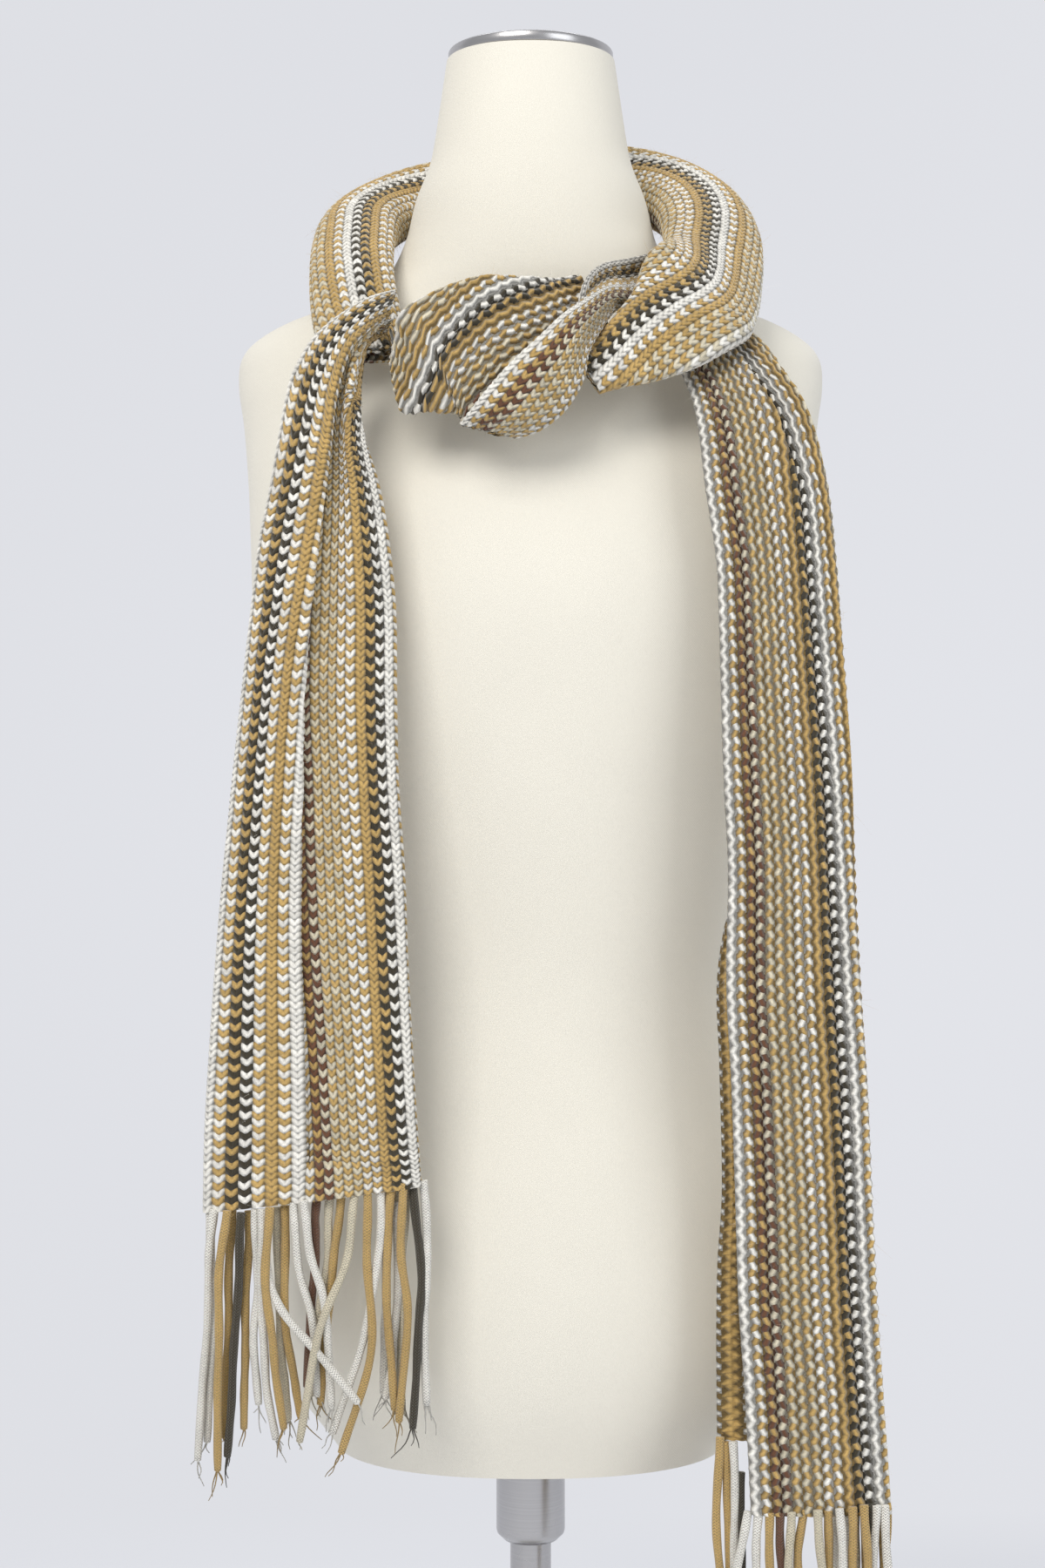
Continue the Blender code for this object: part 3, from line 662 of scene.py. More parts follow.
def tail_left_line(row):
    """The section's line and its (distance, yarn) marks."""
    ax, az, ay, fx, fz, fy, bx, bz, by, lap, part, i_a, i_f, i_g, i_b = row
    a, f, b = np.array([ax, ay, az]), np.array([fx, fy, fz]), np.array([bx, by, bz])
    u, wide = across_of(a, b)
    step = 0.0042 + 0.45 * lap
    pts = [a + u * 0.003 + BACK * 0.004, a, (a + f) / 2 - BACK * 0.003, f]
    laps = lap > 0.0005
    if laps:
        pts += [f - u * (0.9 * lap + 0.001) + BACK * step,
                f + u * (0.002 + lap) + BACK * step * 1.55]
    mid = f + (b - f) * 0.55
    mid[1] = (f[1] + b[1]) / 2 - 0.002
    pts += [mid, b - u * 0.005 - BACK * 0.0015, b + BACK * 0.002]
    at_b = len(pts) - 1
    far = max(wide - 0.009, 0.012)
    for k in range(3):
        d = 0.0052 + 0.0072 * k
        pts += [b - u * 0.005 + BACK * d, b - u * (far - 0.003) + BACK * (d + 0.0004),
                b - u * far + BACK * (d + 0.0020), b - u * (far - 0.004) + BACK * (d + 0.0036),
                b - u * 0.006 + BACK * (d + 0.0038), b - u * 0.0035 + BACK * (d + 0.0055)]
    p = curve(pts)
    d = arc(p)
    marks = [(0.0, 0.0), (d[8], max(i_a, 0.05)), (d[24], i_f)]
    if laps:
        marks.append((d[40] - (0.002 + 0.9 * lap), max(i_g, i_f + 0.2)))
    marks += [(d[at_b * 8], i_b), (WIDTH * max(part, 0.4) * 1.04, 27.0)]
    return cut(p, WIDTH * max(part, 0.4) * 1.04), marks


def tail_right_line(row):
    lx, lz, ly, rx, rz, ry, peek, fc, lap, i_c, i_d, i_r = row
    l, r = np.array([lx, ly, lz]), np.array([rx, ry, rz])
    u, wide = across_of(l, r)
    own = 7.5 * PITCH
    flat = np.clip(-peek / 0.030, 0, 1)
    inner = 0.009 + (own * 0.5 - 0.009) * flat
    edge = -peek * (1 - flat) + own * 0.97 * flat if peek < 0 else -peek
    pts = [l + u * edge + BACK * (0.011 - 0.003 * flat), l + u * inner + BACK * 0.006,
           l + BACK * 0.0005 + u * 0.0004]
    for f, swell in ((0.12, 0.0025), (0.42, 0.005)):
        pts.append(l + (r - l) * f - BACK * swell)
    c = l + (r - l) * fc
    pts += [c - BACK * (0.0045 + 0.25 * lap)]
    if lap > 0.0004:
        pts += [c - u * lap - BACK * (0.0020 - 0.2 * lap), c + u * (lap + 0.002) - BACK * (0.0012 - 0.3 * lap)]
    pts += [l + (r - l) * (fc * 0.35 + 0.65) - BACK * 0.003]
    at_r = len(pts)
    pts += [r, r - u * 0.005 + BACK * 0.0065, r - u * 0.024 + BACK * 0.009,
            r - u * 0.060 + BACK * 0.010]
    p = curve(pts)
    d = arc(p)
    marks = [(0.0, 0.0), (d[16], 7.0), (d[40], i_c)]
    if lap > 0.0004:
        marks.append((d[56] - lap - 0.002, max(i_d, i_c + 0.2)))
    total = max(d[at_r * 8] + (27 - i_r) * PITCH * 0.9, WIDTH * 0.9)
    marks += [(d[at_r * 8], i_r), (total, 27.0)]
    return cut(p, total), marks


def tail(table, line, v_away, ends, per_row=3):
    """A hanging tail laid out on whole yarns and rows."""
    rows = np.asarray(table, float)
    q = np.linspace(0, len(rows) - 1, len(rows) * 8)
    dense = smooth_rows(rows, q)
    mid = np.array([even(line(r)[0], 12)[:6].mean(0) for r in dense])
    a = arc(mid)
    nr = int(round((ends[1] - ends[0]) * a[-1] / ROW))
    ns = int(nr * per_row) + 1
    s = np.linspace(ends[0], ends[1], ns)
    rr = smooth_rows(rows, np.interp(s * a[-1], a, q))
    cols = np.arange(WALES * PER + 1) / PER
    P = np.empty((ns, len(cols), 3))
    for k, r in enumerate(rr):
        p, marks = line(r)
        m = np.array(marks)
        m[:, 0] = np.maximum.accumulate(m[:, 0])
        P[k] = at_arc(p, np.interp(cols, m[:, 1], m[:, 0]))
    for k in range(2):
        P[1:-1] = (P[:-2] + 2 * P[1:-1] + P[2:]) / 4
    v = np.arange(ns) / per_row
    return P, cols, v if v_away else v[::-1], nr * ROW


def roll(table, v_away, ends, first=0, per_row=3):
    """A rolled stretch; the yarns left out of a narrower row gather at the inner end."""
    q, dense, a = length_of(table, roll_section)
    nr = int(round((ends[1] - ends[0]) * a[-1] / ROW))
    ns = int(nr * per_row) + 1
    s = np.linspace(ends[0], ends[1], ns)
    rr = smooth_rows(np.asarray(table, float), np.interp(s * a[-1], a, q))
    way = np.gradient(rr[:, :3], axis=0)
    way /= np.linalg.norm(way, axis=1, keepdims=True)
    cols = first + np.arange((WALES - first) * PER + 1) / PER
    P = np.empty((ns, len(cols), 3))
    for k in range(ns):
        p = roll_section(rr[k], way[k], 500)
        t = arc(p)[-1]
        P[k] = at_arc(p, np.clip(t - (27 - cols) * PITCH, 0, t))
    v = np.arange(ns) / per_row
    return P, cols, v if v_away else v[::-1], nr * ROW, rr[:, :3]


def wrap_line(row):
    """The wrap's section, with the yarns that lie on its crest and its lower edge."""
    rx, rz, cx, cz, cy, ex, ez, ey, tuck = row
    c, e, r = np.array([cx, cy, cz]), np.array([ex, ey, ez]), np.array([rx, cy + 0.003, rz])
    u, wide = across_of(c, e)
    a0 = (r + BACK * 0.002) * (1 - tuck) + (c + u * 0.026 + BACK * 0.007) * tuck
    a1 = ((r + c) / 2 + BACK * 0.009) * (1 - tuck) + (c + u * 0.012 + BACK * 0.0055) * tuck
    p = curve([a0, a1, c + BACK * 0.0005, c + u * 0.003 - BACK * 0.0015, (c + e) / 2 - BACK * 0.004,
               e - u * 0.003, e + BACK * 0.003, e - u * 0.006 + BACK * 0.007,
               e - u * 0.016 + BACK * 0.008])
    d = arc(p)
    return p, [(0.0, 0.0), (d[16], 7.2), (d[48], 15.5), (d[-1], 17.5)]


def wrap(table, ends, yarns=18):
    rows = np.asarray(table, float)
    q, dense, a = length_of(table, wrap_section)
    nr = int(round((ends[1] - ends[0]) * a[-1] / ROW))
    ns = nr * 3 + 1
    s = np.linspace(ends[0], ends[1], ns)
    rr = smooth_rows(rows, np.interp(s * a[-1], a, q))
    cols = np.arange(yarns * PER + 1) / PER
    P = np.empty((ns, len(cols), 3))
    for k, r in enumerate(rr):
        p, marks = wrap_line(r)
        m = np.array(marks)
        P[k] = at_arc(p, np.interp(cols * 17.5 / 18, m[:, 1], m[:, 0]))
    for k in range(2):
        P[1:-1] = (P[:-2] + 2 * P[1:-1] + P[2:]) / 4
    return P, cols, (np.arange(ns) / 3.0)[::-1], nr * ROW


def slide(a, b, x):
    t = np.clip((x - a) / (b - a), 0, 1)
    return t * t * (3 - 2 * t)


# ---- the scarf's stretches
TOWARD = np.array([0.0, -1.0, 0.0])
P_left, c_left, v_left, len_left = tail(TAIL_LEFT, tail_left_line, False, (0.07, 1))
f = np.linspace(0, 1, len(P_left))[:, None]
P_left[..., 1] += 0.0011 * slide(0.25, 0.6, f) * np.sin(c_left[None] * 0.62 + f * 5.0)
P_left[..., 1] -= 0.0012 * slide(0.5, 0.8, f) * np.sin(c_left[None] * 0.27 + f * 9.0 + 1.0)
tail_left, N_left = shell("tail_left_knit", P_left, c_left, v_left, c_left, "face",
                          (len(P_left) * 2 // 3, 4 * PER, TOWARD))
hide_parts("tail_left")

P_right, c_right, v_right, len_right = tail(TAIL_RIGHT, tail_right_line, True, (0.03, 1), 2.6)
f = np.linspace(0, 1, len(P_right))[:, None]
P_right[..., 2] += 0.038 * slide(7.2, 3.0, c_right[None]) * f**3
P_right[..., 1] += 0.0012 * slide(0.15, 0.5, f) * np.sin(c_right[None] * 0.45 + f * 7.0)
P_right[..., 1] -= 0.0010 * slide(0.3, 0.7, f) * np.sin(c_right[None] * 0.8 - f * 4.0)
show = np.where(c_right < 6.9, 6.2 - 2.9 * c_right / 6.9, c_right)
tail_right, N_right = shell("tail_right_knit", P_right[::1], c_right, v_right, show, "reverse",
                            (len(P_right) * 2 // 3, 12 * PER, TOWARD))
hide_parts("tail_right")

P_col, c_col, v_col, len_col, mid_col = roll(COLLAR, False, (0.02, 1), per_row=2.6)
out = P_col[60, -3 * PER] - mid_col[60]
collar, N_col = shell("collar_knit", P_col, c_col, v_col, c_col, "face", (60, -3 * PER, out))
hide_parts("collar")

P_str, c_str, v_str, len_str, mid_str = roll(STRAND, True, (0.25, 1))
out = P_str[40, -3 * PER] - mid_str[40]
strand, N_str = shell("strand_knit", P_str, c_str, v_str, c_str, "reverse", (40, -3 * PER, out))
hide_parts("strand_front")

P_wrap, c_wrap, v_wrap, len_wrap = wrap(WRAP, (0.0, 1.0))
wrapped, N_wrap = shell("wrap_knit", P_wrap, c_wrap, v_wrap, c_wrap * 17.5 / 18, "face",
                        (len(P_wrap) // 2, 10 * PER, TOWARD))
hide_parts("wrap_front")

# ---- fringe: every yarn runs on as a knitted cord, with its plies loose at the tip


def tube(points, radius, sides, gathered, mat, phase=0.0):
    """A tube along points, its radius one value for each; adds to the lists in gathered."""
    p = np.asarray(points, float)
    t = np.gradient(p, axis=0)
    t /= np.maximum(np.linalg.norm(t, axis=1, keepdims=True), 1e-12)
    ref = np.array([0.0, -1.0, 0.0])
    a = np.cross(t, ref)
    a /= np.maximum(np.linalg.norm(a, axis=1, keepdims=True), 1e-9)
    b = np.cross(t, a)
    th = np.linspace(0, 2 * pi, sides, endpoint=False) + phase
    r = np.broadcast_to(np.asarray(radius, float), (len(p),))
    d = arc(p) * 1000
    ring = (p[:, None] + (r[:, None] * np.cos(th))[..., None] * a[:, None]
            + (r[:, None] * np.sin(th))[..., None] * b[:, None])
    verts = ring.reshape(-1, 3)
    base = gathered["n"]
    i, j = np.meshgrid(np.arange(len(p) - 1), np.arange(sides), indexing="ij")
    i, j = i.ravel(), j.ravel()
    k = (j + 1) % sides
    quads = np.stack([i * sides + j, i * sides + k, (i + 1) * sides + k, (i + 1) * sides + j], 1)
    uu = np.stack([j, j + 1, j + 1, j], 1) / sides
    vv = np.stack([d[i], d[i], d[i + 1], d[i + 1]], 1)
    # both ends close on their middle
    ends = np.array([p[0], p[-1] + t[-1] * r[-1] * 0.6])
    m = len(verts)
    j = np.arange(sides)
    last = (len(p) - 1) * sides
    caps = np.concatenate([np.stack([np.full(sides, m), np.full(sides, m), (j + 1) % sides, j], 1),
                           np.stack([last + j, last + (j + 1) % sides, np.full(sides, m + 1),
                                     np.full(sides, m + 1)], 1)])
    gathered["verts"] += [verts, ends]
    gathered["quads"].append(quads + base)
    gathered["uv"].append(np.stack([uu, vv], -1).reshape(-1, 2))
    gathered["mat"].append(np.full(len(quads), mat))
    tri = np.concatenate([caps[:sides, 1:], caps[sides:, :3]])
    gathered["tris"].append(tri + base)
    gathered["tri_mat"].append(np.full(len(tri), mat))
    gathered["n"] += m + 2


def gather():
    return {"verts": [], "quads": [], "uv": [], "mat": [], "tris": [], "tri_mat": [], "n": 0}


def from_gathered(name, g, mats):
    verts = np.concatenate(g["verts"])
    quads = np.concatenate(g["quads"])
    tris = np.concatenate(g["tris"])
    me = bpy.data.meshes.new(name)
    me.vertices.add(len(verts))
    me.vertices.foreach_set("co", verts.astype(np.float32).ravel())
    loops = np.concatenate([quads.ravel(), tris.ravel()])
    me.loops.add(len(loops))
    me.loops.foreach_set("vertex_index", loops.astype(np.int32))
    total = np.concatenate([np.full(len(quads), 4), np.full(len(tris), 3)])
    start = np.concatenate([[0], np.cumsum(total)[:-1]])
    me.polygons.add(len(total))
    me.polygons.foreach_set("loop_start", start.astype(np.int32))
    me.polygons.foreach_set("loop_total", total.astype(np.int32))
    uv = np.concatenate([np.concatenate(g["uv"]), np.zeros((len(tris) * 3, 2))])
    layer = me.uv_layers.new(name="stitch")
    layer.data.foreach_set("uv", uv.astype(np.float32).ravel())
    for m in mats:
        me.materials.append(m)
    me.update(calc_edges=True)
    me.polygons.foreach_set("material_index",
                            np.concatenate(g["mat"] + g["tri_mat"]).astype(np.int32))
    me.polygons.foreach_set("use_smooth", np.full(len(total), True))
    me.update()
    ob = bpy.data.objects.new(name, me)
    bpy.context.scene.collection.objects.link(ob)
    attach(ob, "root")
    return ob


LETTERS = "WCMKB"
rng = np.random.default_rng(11)


def cord_of(g, letter, stations, fray):
    """A cord through stations (x, y, z), with small waves of its own and a loose tip."""
    p = curve(stations, 14)
    n = len(p)
    s = np.linspace(0, 1, n)
    w = rng.uniform(0, 2 * pi, 4)
    amp = 0.0009 * np.sin(pi * np.clip(s * 1.2, 0, 1))
    p = p + np.stack([amp * np.sin(9 * s + w[0]), amp * np.sin(7 * s + w[1]), 0 * s], 1)
    r = 0.00255 * (1 + 0.05 * np.sin(31 * s + w[2])) * (1 - 0.10 * s)
    r = r * np.where(s > 0.965, 1.0 - 3.5 * (s - 0.965), 1.0)
    mat = LETTERS.index(letter)
    tube(p, r, 9, g, mat)
    tip, d = p[-1], p[-1] - p[-4]
    d /= np.linalg.norm(d)
    for k in range(fray):
        reach = rng.uniform(0.005, 0.020)
        m = 8
        q = np.linspace(0, 1, m)
        side = rng.normal(0, 1, 3) * [1, 0.5, 0.3]
        curl = rng.uniform(2.5, 7.0)
        ph = rng.uniform(0, 2 * pi)
        pp = (tip - d * 0.003 + (d[None] * q[:, None] + side[None] * 0.28 * (q**1.4)[:, None]) * reach
              + np.stack([np.sin(curl * q + ph), 0.5 * np.cos(curl * q + ph), 0 * q], 1) * 0.0016 * q[:, None])
        tube(pp, 0.00055 * (1 - 0.6 * q), 5, g, mat)


# The left fringe. Columns: yarn; then x, y, z at the hem, at one third, two thirds and the tip.
CORDS_LEFT = [
    ("W", -0.1774, -0.1370, 0.6644, -0.1803, -0.1370, 0.6293, -0.1832, -0.1370, 0.5758, -0.1866, -0.1370, 0.5242),
    ("W", -0.1803, -0.1330, 0.6637, -0.1788, -0.1330, 0.6237, -0.1798, -0.1330, 0.5797, -0.1818, -0.1330, 0.5334),
    ("M", -0.1694, -0.1430, 0.6644, -0.1737, -0.1430, 0.6256, -0.1747, -0.1430, 0.5772, -0.1747, -0.1430, 0.5200),
    ("M", -0.1674, -0.1350, 0.6641, -0.1693, -0.1350, 0.6192, -0.1708, -0.1350, 0.5802, -0.1722, -0.1350, 0.5363),
    ("K", -0.1619, -0.1400, 0.6630, -0.1644, -0.1400, 0.6187, -0.1663, -0.1400, 0.5702, -0.1697, -0.1400, 0.5269),
    ("M", -0.1582, -0.1340, 0.6629, -0.1592, -0.1340, 0.6190, -0.1607, -0.1340, 0.5800, -0.1611, -0.1340, 0.5409),
    ("W", -0.1543, -0.1390, 0.6647, -0.1533, -0.1390, 0.6249, -0.1548, -0.1390, 0.5908, -0.1523, -0.1390, 0.5558),
    ("W", -0.1501, -0.1420, 0.6652, -0.1496, -0.1420, 0.6109, -0.1486, -0.1420, 0.5721, -0.1423, -0.1420, 0.5372),
    ("M", -0.1454, -0.1450, 0.6667, -0.1473, -0.1453, 0.6198, -0.1434, -0.1457, 0.5826, -0.1376, -0.1460, 0.5440),
    ("C", -0.1426, -0.1340, 0.6649, -0.1416, -0.1340, 0.6092, -0.1387, -0.1340, 0.5751, -0.1363, -0.1340, 0.5458),
    ("M", -0.1379, -0.1370, 0.6663, -0.1374, -0.1370, 0.6099, -0.1331, -0.1370, 0.5709, -0.1287, -0.1370, 0.5475),
    ("W", -0.1326, -0.1420, 0.6691, -0.1307, -0.1420, 0.6376, -0.1224, -0.1420, 0.6060, -0.1195, -0.1420, 0.5614),
    ("W", -0.1270, -0.1450, 0.6706, -0.1222, -0.1450, 0.6406, -0.1154, -0.1450, 0.6115, -0.1110, -0.1450, 0.5554),
    ("B", -0.1199, -0.1370, 0.6712, -0.1209, -0.1370, 0.6488, -0.1228, -0.1370, 0.6147, -0.1258, -0.1370, 0.5651),
    ("C", -0.1125, -0.1380, 0.6733, -0.1140, -0.1380, 0.6417, -0.1179, -0.1380, 0.6101, -0.1232, -0.1380, 0.5604),
    ("M", -0.1061, -0.1400, 0.6736, -0.1090, -0.1400, 0.6421, -0.1133, -0.1400, 0.6105, -0.1177, -0.1400, 0.5561),
    ("C", -0.0981, -0.1430, 0.6751, -0.1027, -0.1457, 0.6407, -0.1175, -0.1483, 0.5977, -0.1284, -0.1510, 0.5380),
    ("M", -0.0913, -0.1430, 0.6770, -0.0907, -0.1443, 0.6356, -0.0902, -0.1457, 0.5826, -0.1056, -0.1470, 0.5307),
    ("W", -0.0841, -0.1420, 0.6779, -0.0845, -0.1423, 0.6401, -0.0942, -0.1427, 0.5916, -0.1107, -0.1430, 0.5408),
    ("M", -0.0778, -0.1420, 0.6808, -0.0812, -0.1420, 0.6352, -0.0787, -0.1420, 0.5915, -0.0763, -0.1420, 0.5536),
    ("M", -0.0714, -0.1440, 0.6801, -0.0719, -0.1440, 0.6404, -0.0694, -0.1440, 0.6016, -0.0738, -0.1440, 0.5474),
    ("W", -0.0757, -0.1360, 0.6681, -0.0752, -0.1360, 0.6097, -0.0776, -0.1360, 0.5804, -0.0815, -0.1360, 0.5585),
    ("K", -0.0662, -0.1400, 0.6800, -0.0623, -0.1400, 0.6348, -0.0628, -0.1400, 0.5959, -0.0662, -0.1400, 0.5425),
    ("W", -0.0605, -0.1380, 0.6806, -0.0575, -0.1380, 0.6427, -0.0600, -0.1380, 0.6101, -0.0585, -0.1380, 0.5556),
    ("W", -0.1501, -0.1370, 0.6624, -0.1446, -0.1430, 0.6189, -0.1184, -0.1490, 0.5868, -0.0959, -0.1550, 0.5607),
]

# The right fringe. Same columns.
CORDS_RIGHT = [
    ("M", 0.1060, -0.1310, 0.5353, 0.1045, -0.1310, 0.4815, 0.1070, -0.1310, 0.4326, 0.1080, -0.1310, 0.3861),
    ("M", 0.1091, -0.1290, 0.5323, 0.1115, -0.1290, 0.4809, 0.1096, -0.1290, 0.4368, 0.1106, -0.1290, 0.3928),
    ("W", 0.1132, -0.1320, 0.5331, 0.1147, -0.1320, 0.4818, 0.1132, -0.1320, 0.4329, 0.1152, -0.1320, 0.3841),
    ("K", 0.1177, -0.1310, 0.5157, 0.1172, -0.1310, 0.4717, 0.1187, -0.1310, 0.4228, 0.1177, -0.1310, 0.3715),
    ("W", 0.1210, -0.1380, 0.4957, 0.1151, -0.1383, 0.4642, 0.1127, -0.1387, 0.4108, 0.1146, -0.1390, 0.3526),
    ("W", 0.1268, -0.1390, 0.4955, 0.1253, -0.1390, 0.4644, 0.1224, -0.1390, 0.4109, 0.1204, -0.1390, 0.3574),
    ("M", 0.1330, -0.1400, 0.4958, 0.1330, -0.1400, 0.4599, 0.1310, -0.1400, 0.4064, 0.1325, -0.1400, 0.3505),
    ("B", 0.1389, -0.1390, 0.4955, 0.1394, -0.1390, 0.4596, 0.1404, -0.1390, 0.4061, 0.1379, -0.1390, 0.3536),
    ("C", 0.1450, -0.1410, 0.4961, 0.1441, -0.1410, 0.4650, 0.1465, -0.1410, 0.4068, 0.1445, -0.1410, 0.3572),
    ("M", 0.1523, -0.1370, 0.4969, 0.1493, -0.1373, 0.4663, 0.1532, -0.1377, 0.4105, 0.1556, -0.1380, 0.3522),
    ("C", 0.1595, -0.1420, 0.4974, 0.1619, -0.1420, 0.4605, 0.1634, -0.1420, 0.4096, 0.1590, -0.1420, 0.3523),
    ("M", 0.1658, -0.1380, 0.4962, 0.1658, -0.1380, 0.4592, 0.1677, -0.1380, 0.4057, 0.1687, -0.1380, 0.3580),
    ("W", 0.1717, -0.1410, 0.4980, 0.1746, -0.1410, 0.4602, 0.1766, -0.1410, 0.4068, 0.1732, -0.1410, 0.3534),
    ("M", 0.1793, -0.1390, 0.4984, 0.1802, -0.1390, 0.4596, 0.1812, -0.1390, 0.4061, 0.1822, -0.1390, 0.3497),
    ("M", 0.1855, -0.1400, 0.4997, 0.1874, -0.1400, 0.4599, 0.1879, -0.1400, 0.4064, 0.1859, -0.1400, 0.3549),
    ("K", 0.1908, -0.1330, 0.4987, 0.1903, -0.1330, 0.4577, 0.1923, -0.1330, 0.4040, 0.1932, -0.1330, 0.3493),
    ("W", 0.1934, -0.1350, 0.4983, 0.1920, -0.1350, 0.4583, 0.1939, -0.1350, 0.4047, 0.1964, -0.1350, 0.3559),
    ("W", 0.1980, -0.1340, 0.4980, 0.1999, -0.1340, 0.4580, 0.1999, -0.1340, 0.4043, 0.1980, -0.1340, 0.3506),
]



# behind the left tail's turned-under edge, and behind the right tail, the rest hang straight
def hanging(P, cols, idx, drop, lean, depth):
    p = P[-1, int(idx * PER)].copy()
    p[2] += 0.003
    end = p + np.array([lean, depth, -drop])
    a = p + (end - p) * 0.33 + np.array([lean * 0.3, 0, 0])
    b = p + (end - p) * 0.66 - np.array([lean * 0.2, 0, 0])
    return [p, a, b, end]


g = gather()
for letter, *xs in CORDS_LEFT:
    st = [xs[0:3], xs[3:6], xs[6:9], xs[9:12]]
    cord_of(g, letter, st, int(rng.integers(2, 5)))
for idx, lean, drop in ((23, -0.004, 0.122), (25, 0.003, 0.130), (27, -0.002, 0.118)):
    cord_of(g, YARNS[idx], hanging(P_left, c_left, idx, drop, lean, 0.001), 3)
fringe_left = from_gathered("fringe_left_cords", g, [CORDS[k] for k in LETTERS])
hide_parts("fringe_left")

g = gather()
for letter, *xs in CORDS_RIGHT:
    st = [xs[0:3], xs[3:6], xs[6:9], xs[9:12]]
    cord_of(g, letter, st, int(rng.integers(2, 5)))
for idx, lean, drop in ((21, -0.003, 0.140), (22, 0.002, 0.133), (23, -0.002, 0.143), (24, 0.003, 0.136),
                        (25, -0.001, 0.141), (26, 0.002, 0.130), (27, -0.002, 0.138)):
    cord_of(g, YARNS[idx], hanging(P_right, c_right, idx, drop, lean, 0.001), 3)
fringe_right = from_gathered("fringe_right_cords", g, [CORDS[k] for k in LETTERS])
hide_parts("fringe_right")

# ---- loose fibres over the wool, thickest along the edges


def fibres(name, jobs, count, seed):
    """jobs is (surface, normals, shown yarns, weight, and the yarns that bound its columns) for each stretch."""
    r = np.random.default_rng(seed)
    verts, quads, us = [], [], []
    base = 0
    for P, N, U, share, lo, hi in jobs:
        n = int(count * share)
        i = r.integers(1, P.shape[0] - 1, n)
        lim = np.searchsorted(U, [lo, hi])
        j = r.integers(lim[0], max(lim[1], lim[0] + 1), n)
        j = np.minimum(j, P.shape[1] - 1)
        edge = r.random(n) < 0.22
        j = np.where(edge, np.where(r.random(n) < 0.5, lim[0], np.minimum(lim[1], P.shape[1]) - 1), j)
        p, nn = P[i, j], N[i, j]
        d = nn * r.uniform(0.25, 1.0, (n, 1)) + r.normal(0, 0.75, (n, 3))
        d /= np.linalg.norm(d, axis=1, keepdims=True)
        long = np.where(r.random(n) < 0.06, r.uniform(0.006, 0.012, n), r.uniform(0.0015, 0.0045, n))
        bend = r.normal(0, 1, (n, 3))
        side = np.cross(d, bend)
        side /= np.linalg.norm(side, axis=1, keepdims=True)
        p = p + nn * 0.0012
        ring = []
        for k, w in enumerate((0.00004, 0.000035, 0.000025, 0.00001)):
            q = k / 3
            c = p + d * (long * q)[:, None] + bend * (long * 0.30 * q * q)[:, None]
            ring += [c - side * w, c + side * w]
        verts.append(np.stack(ring, 1).reshape(-1, 3))
        k = base + np.arange(n)[:, None] * 8
        for s in range(3):
            quads.append(k + np.array([2 * s, 2 * s + 1, 2 * s + 3, 2 * s + 2]))
            us.append(np.repeat(U[j], 4))
        base += n * 8
    quads = np.concatenate(quads)
    u = np.concatenate(us)
    ob = mesh_of(name, np.concatenate(verts), quads, np.stack([u, 0 * u], -1), (HAIR,))
    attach(ob, "root")
    return ob


many = 9000
hair_tails = fibres("fibres_tails", [(P_left, N_left, c_left, 0.5, 0, 21),
                                     (P_right, N_right, c_right, 0.5, 6.5, 23)], many, 5)
hair_knot = fibres("fibres_knot", [(P_col, N_col, c_col, 0.6, 9, 27), (P_str, N_str, c_str, 0.22, 10, 27),
                                   (P_wrap, N_wrap, c_wrap, 0.18, 0, 17)], many, 6)

# ---- the form and its stand


def rounded(name, rings, mat, slot, *nodes, shut=True):
    """A smooth closed surface through rings of equal count."""
    R = np.asarray(rings, float)
    m, n = R.shape[:2]
    verts = np.concatenate([R.reshape(-1, 3), R[0].mean(0)[None], R[-1].mean(0)[None]])
    i, j = np.meshgrid(np.arange(m - 1), np.arange(n), indexing="ij")
    i, j = i.ravel(), j.ravel()
    k = (j + 1) % n
    quads = [np.stack([i * n + j, i * n + k, (i + 1) * n + k, (i + 1) * n + j], 1)]
    j = np.arange(0, n, 2)
    low = np.stack([np.full(n // 2, m * n), (j + 2) % n, (j + 1) % n, j], 1)
    top = np.stack([np.full(n // 2, m * n + 1), (m - 1) * n + j, (m - 1) * n + j + 1,
                    (m - 1) * n + (j + 2) % n], 1)
    ob = mesh_of(name, verts, np.concatenate(quads + [low, top]), None, (mat,))
    mod = ob.modifiers.new("edges", "EDGE_SPLIT")
    mod.split_angle = radians(50)
    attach(ob, "root")
    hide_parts(*nodes)
    return ob


JERSEY, METAL, PAINT = jersey_material(), metal_material(), paint_material()
rings = []
for z, half, front, back in smooth_rows(TORSO, np.linspace(0, len(TORSO) - 1, 180)):
    cy, hy = (front + back) / 2, (back - front) / 2
    t = np.linspace(0, 2 * pi, 128, endpoint=False)
    rings.append(np.stack([half * np.sign(np.cos(t)) * np.abs(np.cos(t)) ** 0.9,
                           cy + hy * np.sign(np.sin(t)) * np.abs(np.sin(t)) ** 0.9, 0 * t + z], 1))
form = rounded("dress_form", rings, JERSEY, "jersey", "form_torso")


def turned(name, profile, mat, slot, node, n=96):
    t = np.linspace(0, 2 * pi, n, endpoint=False)
    return rounded(name, [np.stack([r * np.cos(t), r * np.sin(t), 0 * t + z], 1) for r, z in profile],
                   mat, slot, node)


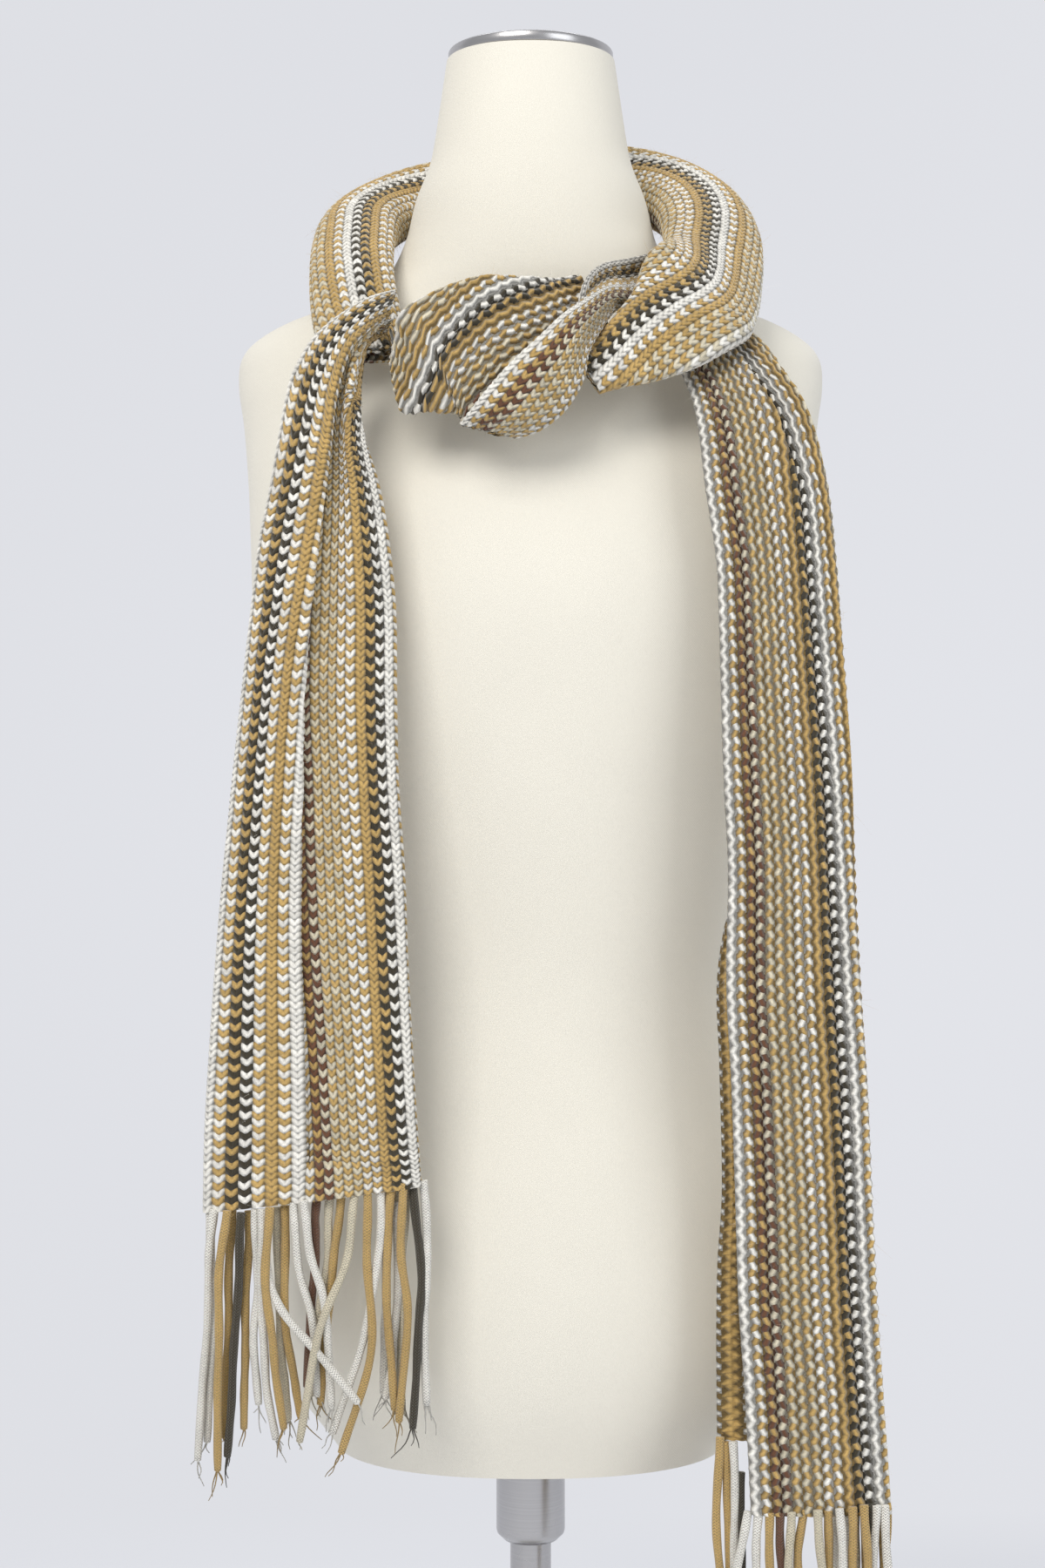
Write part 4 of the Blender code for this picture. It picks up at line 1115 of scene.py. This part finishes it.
CAP_R, CAP_H, CAP_Z, GAP = 0.0505, 0.007, 1.343, 0.0003
cap = turned("neck_cap_metal", [(CAP_R - 0.0008, CAP_Z + GAP), (CAP_R, CAP_Z + GAP + 0.0008),
                                (CAP_R, CAP_Z + CAP_H - 0.0012), (CAP_R - 0.0004, CAP_Z + CAP_H - 0.0004),
                                (CAP_R - 0.0012, CAP_Z + CAP_H), (CAP_R - 0.004, CAP_Z + CAP_H),
                                (CAP_R - 0.0044, CAP_Z + CAP_H - 0.0005)], METAL, "cap_metal", "neck_cap")
low = TORSO[0][0]
turned("pole_socket_metal", [(0.0165, low - 0.060), (0.0205, low - 0.0560), (0.021, low - 0.054),
                             (0.021, low - GAP)], METAL, "cap_metal", "pole_socket")
turned("pole_metal", [(0.0125, 0.016 + GAP), (0.0125, low - 0.060 - GAP)], METAL, "cap_metal", "pole")
turned("base_painted", [(0.1742, 0.0), (0.175, 0.0008), (0.175, 0.0066), (0.1745, 0.0085), (0.171, 0.012),
                        (0.160, 0.0127), (0.0788, 0.0149), (0.030, 0.016)], PAINT, "stand_paint", "stand_base")

# ---- floor, backdrop, light, camera


def studio_paper():
    """Pale paper: lit by the lamps on the floor, and evenly bright where it rises behind."""
    m, t, b = tree_of("paper")
    p = place(t)
    s = t.nodes.new("ShaderNodeSeparateXYZ")
    t.links.new(p, s.inputs[0])
    share = max_(min_(1.0 - Val(t, s.outputs[2]) * 11.0, 1.0), 0.0)
    slow = noise(t, p, 0.7, 0.0)
    c = t.nodes.new("ShaderNodeRGB")
    c.outputs[0].default_value = (0.80, 0.81, 0.84, 1)
    t.links.new(scaled(t, c.outputs[0], share), b.inputs["Base Color"])
    e = t.nodes.new("ShaderNodeRGB")
    e.outputs[0].default_value = (0.735, 0.745, 0.785, 1)
    t.links.new(scaled(t, e.outputs[0], (1.0 - share) * (0.94 + 0.12 * slow)), b.inputs["Emission Color"])
    b.inputs["Emission Strength"].default_value = 1.0
    b.inputs["Specular IOR Level"].default_value = 0.0
    b.inputs["Roughness"].default_value = 0.9
    m.cycles.emission_sampling = "NONE"
    return m


# one sheet of paper: floor, a wide curve, and the wall behind
prof = [(-4.0, 0.0)] + [(0.9 + 0.8 * sin(a), 0.8 - 0.8 * cos(a)) for a in np.linspace(0, pi / 2, 17)] + [(1.7, 5.0)]
xs = (-5.0, 5.0)
verts = [(x, y, z - 0.0005) for y, z in prof for x in xs]
quads = np.array([(2 * k, 2 * k + 1, 2 * k + 3, 2 * k + 2) for k in range(len(prof) - 1)])
paper = mesh_of("backdrop", np.array(verts), quads, None, (studio_paper(),))

world = bpy.data.worlds.new("studio")
bpy.context.scene.world = world
world.use_nodes = True
world.node_tree.nodes["Background"].inputs[0].default_value = (0.94, 0.96, 1.0, 1)
world.node_tree.nodes["Background"].inputs[1].default_value = 0.52


def lamp(name, place, aim, size, power, colour=(1, 1, 1)):
    d = bpy.data.lights.new(name, "AREA")
    d.shape = "RECTANGLE"
    d.size, d.size_y = size
    d.energy = power
    d.color = colour
    o = bpy.data.objects.new(name, d)
    bpy.context.scene.collection.objects.link(o)
    o.location = place
    v = np.array(aim, float) - np.array(place, float)
    o.rotation_mode = "QUATERNION"
    o.rotation_quaternion = Vector(v).to_track_quat("-Z", "Y")
    return o


lamp("key", (-0.9, -2.1, 2.5), (0, 0, 1.0), (1.3, 1.3), 42, (1.0, 0.975, 0.94))
lamp("fill", (1.6, -1.8, 1.6), (0, 0, 1.0), (1.4, 1.8), 16, (0.94, 0.97, 1.0))
lamp("wall", (0.0, 0.5, 3.0), (0.0, 1.6, 1.0), (2.5, 0.6), 14, (0.95, 0.97, 1.0))

camera = bpy.data.cameras.new("camera")
camera.lens = 58
camera.sensor_width = 36
camera.sensor_fit = "AUTO"
camera.clip_start, camera.clip_end = 0.05, 50
view = bpy.data.objects.new("camera", camera)
bpy.context.scene.collection.objects.link(view)
view.location = (-0.005, -1.549, 0.902)
view.rotation_euler = (radians(90), 0, 0)
bpy.context.scene.camera = view
bpy.context.scene.view_settings.view_transform = "Standard"
bpy.context.scene.view_settings.look = "None"
bpy.context.scene.view_settings.exposure = 0.0
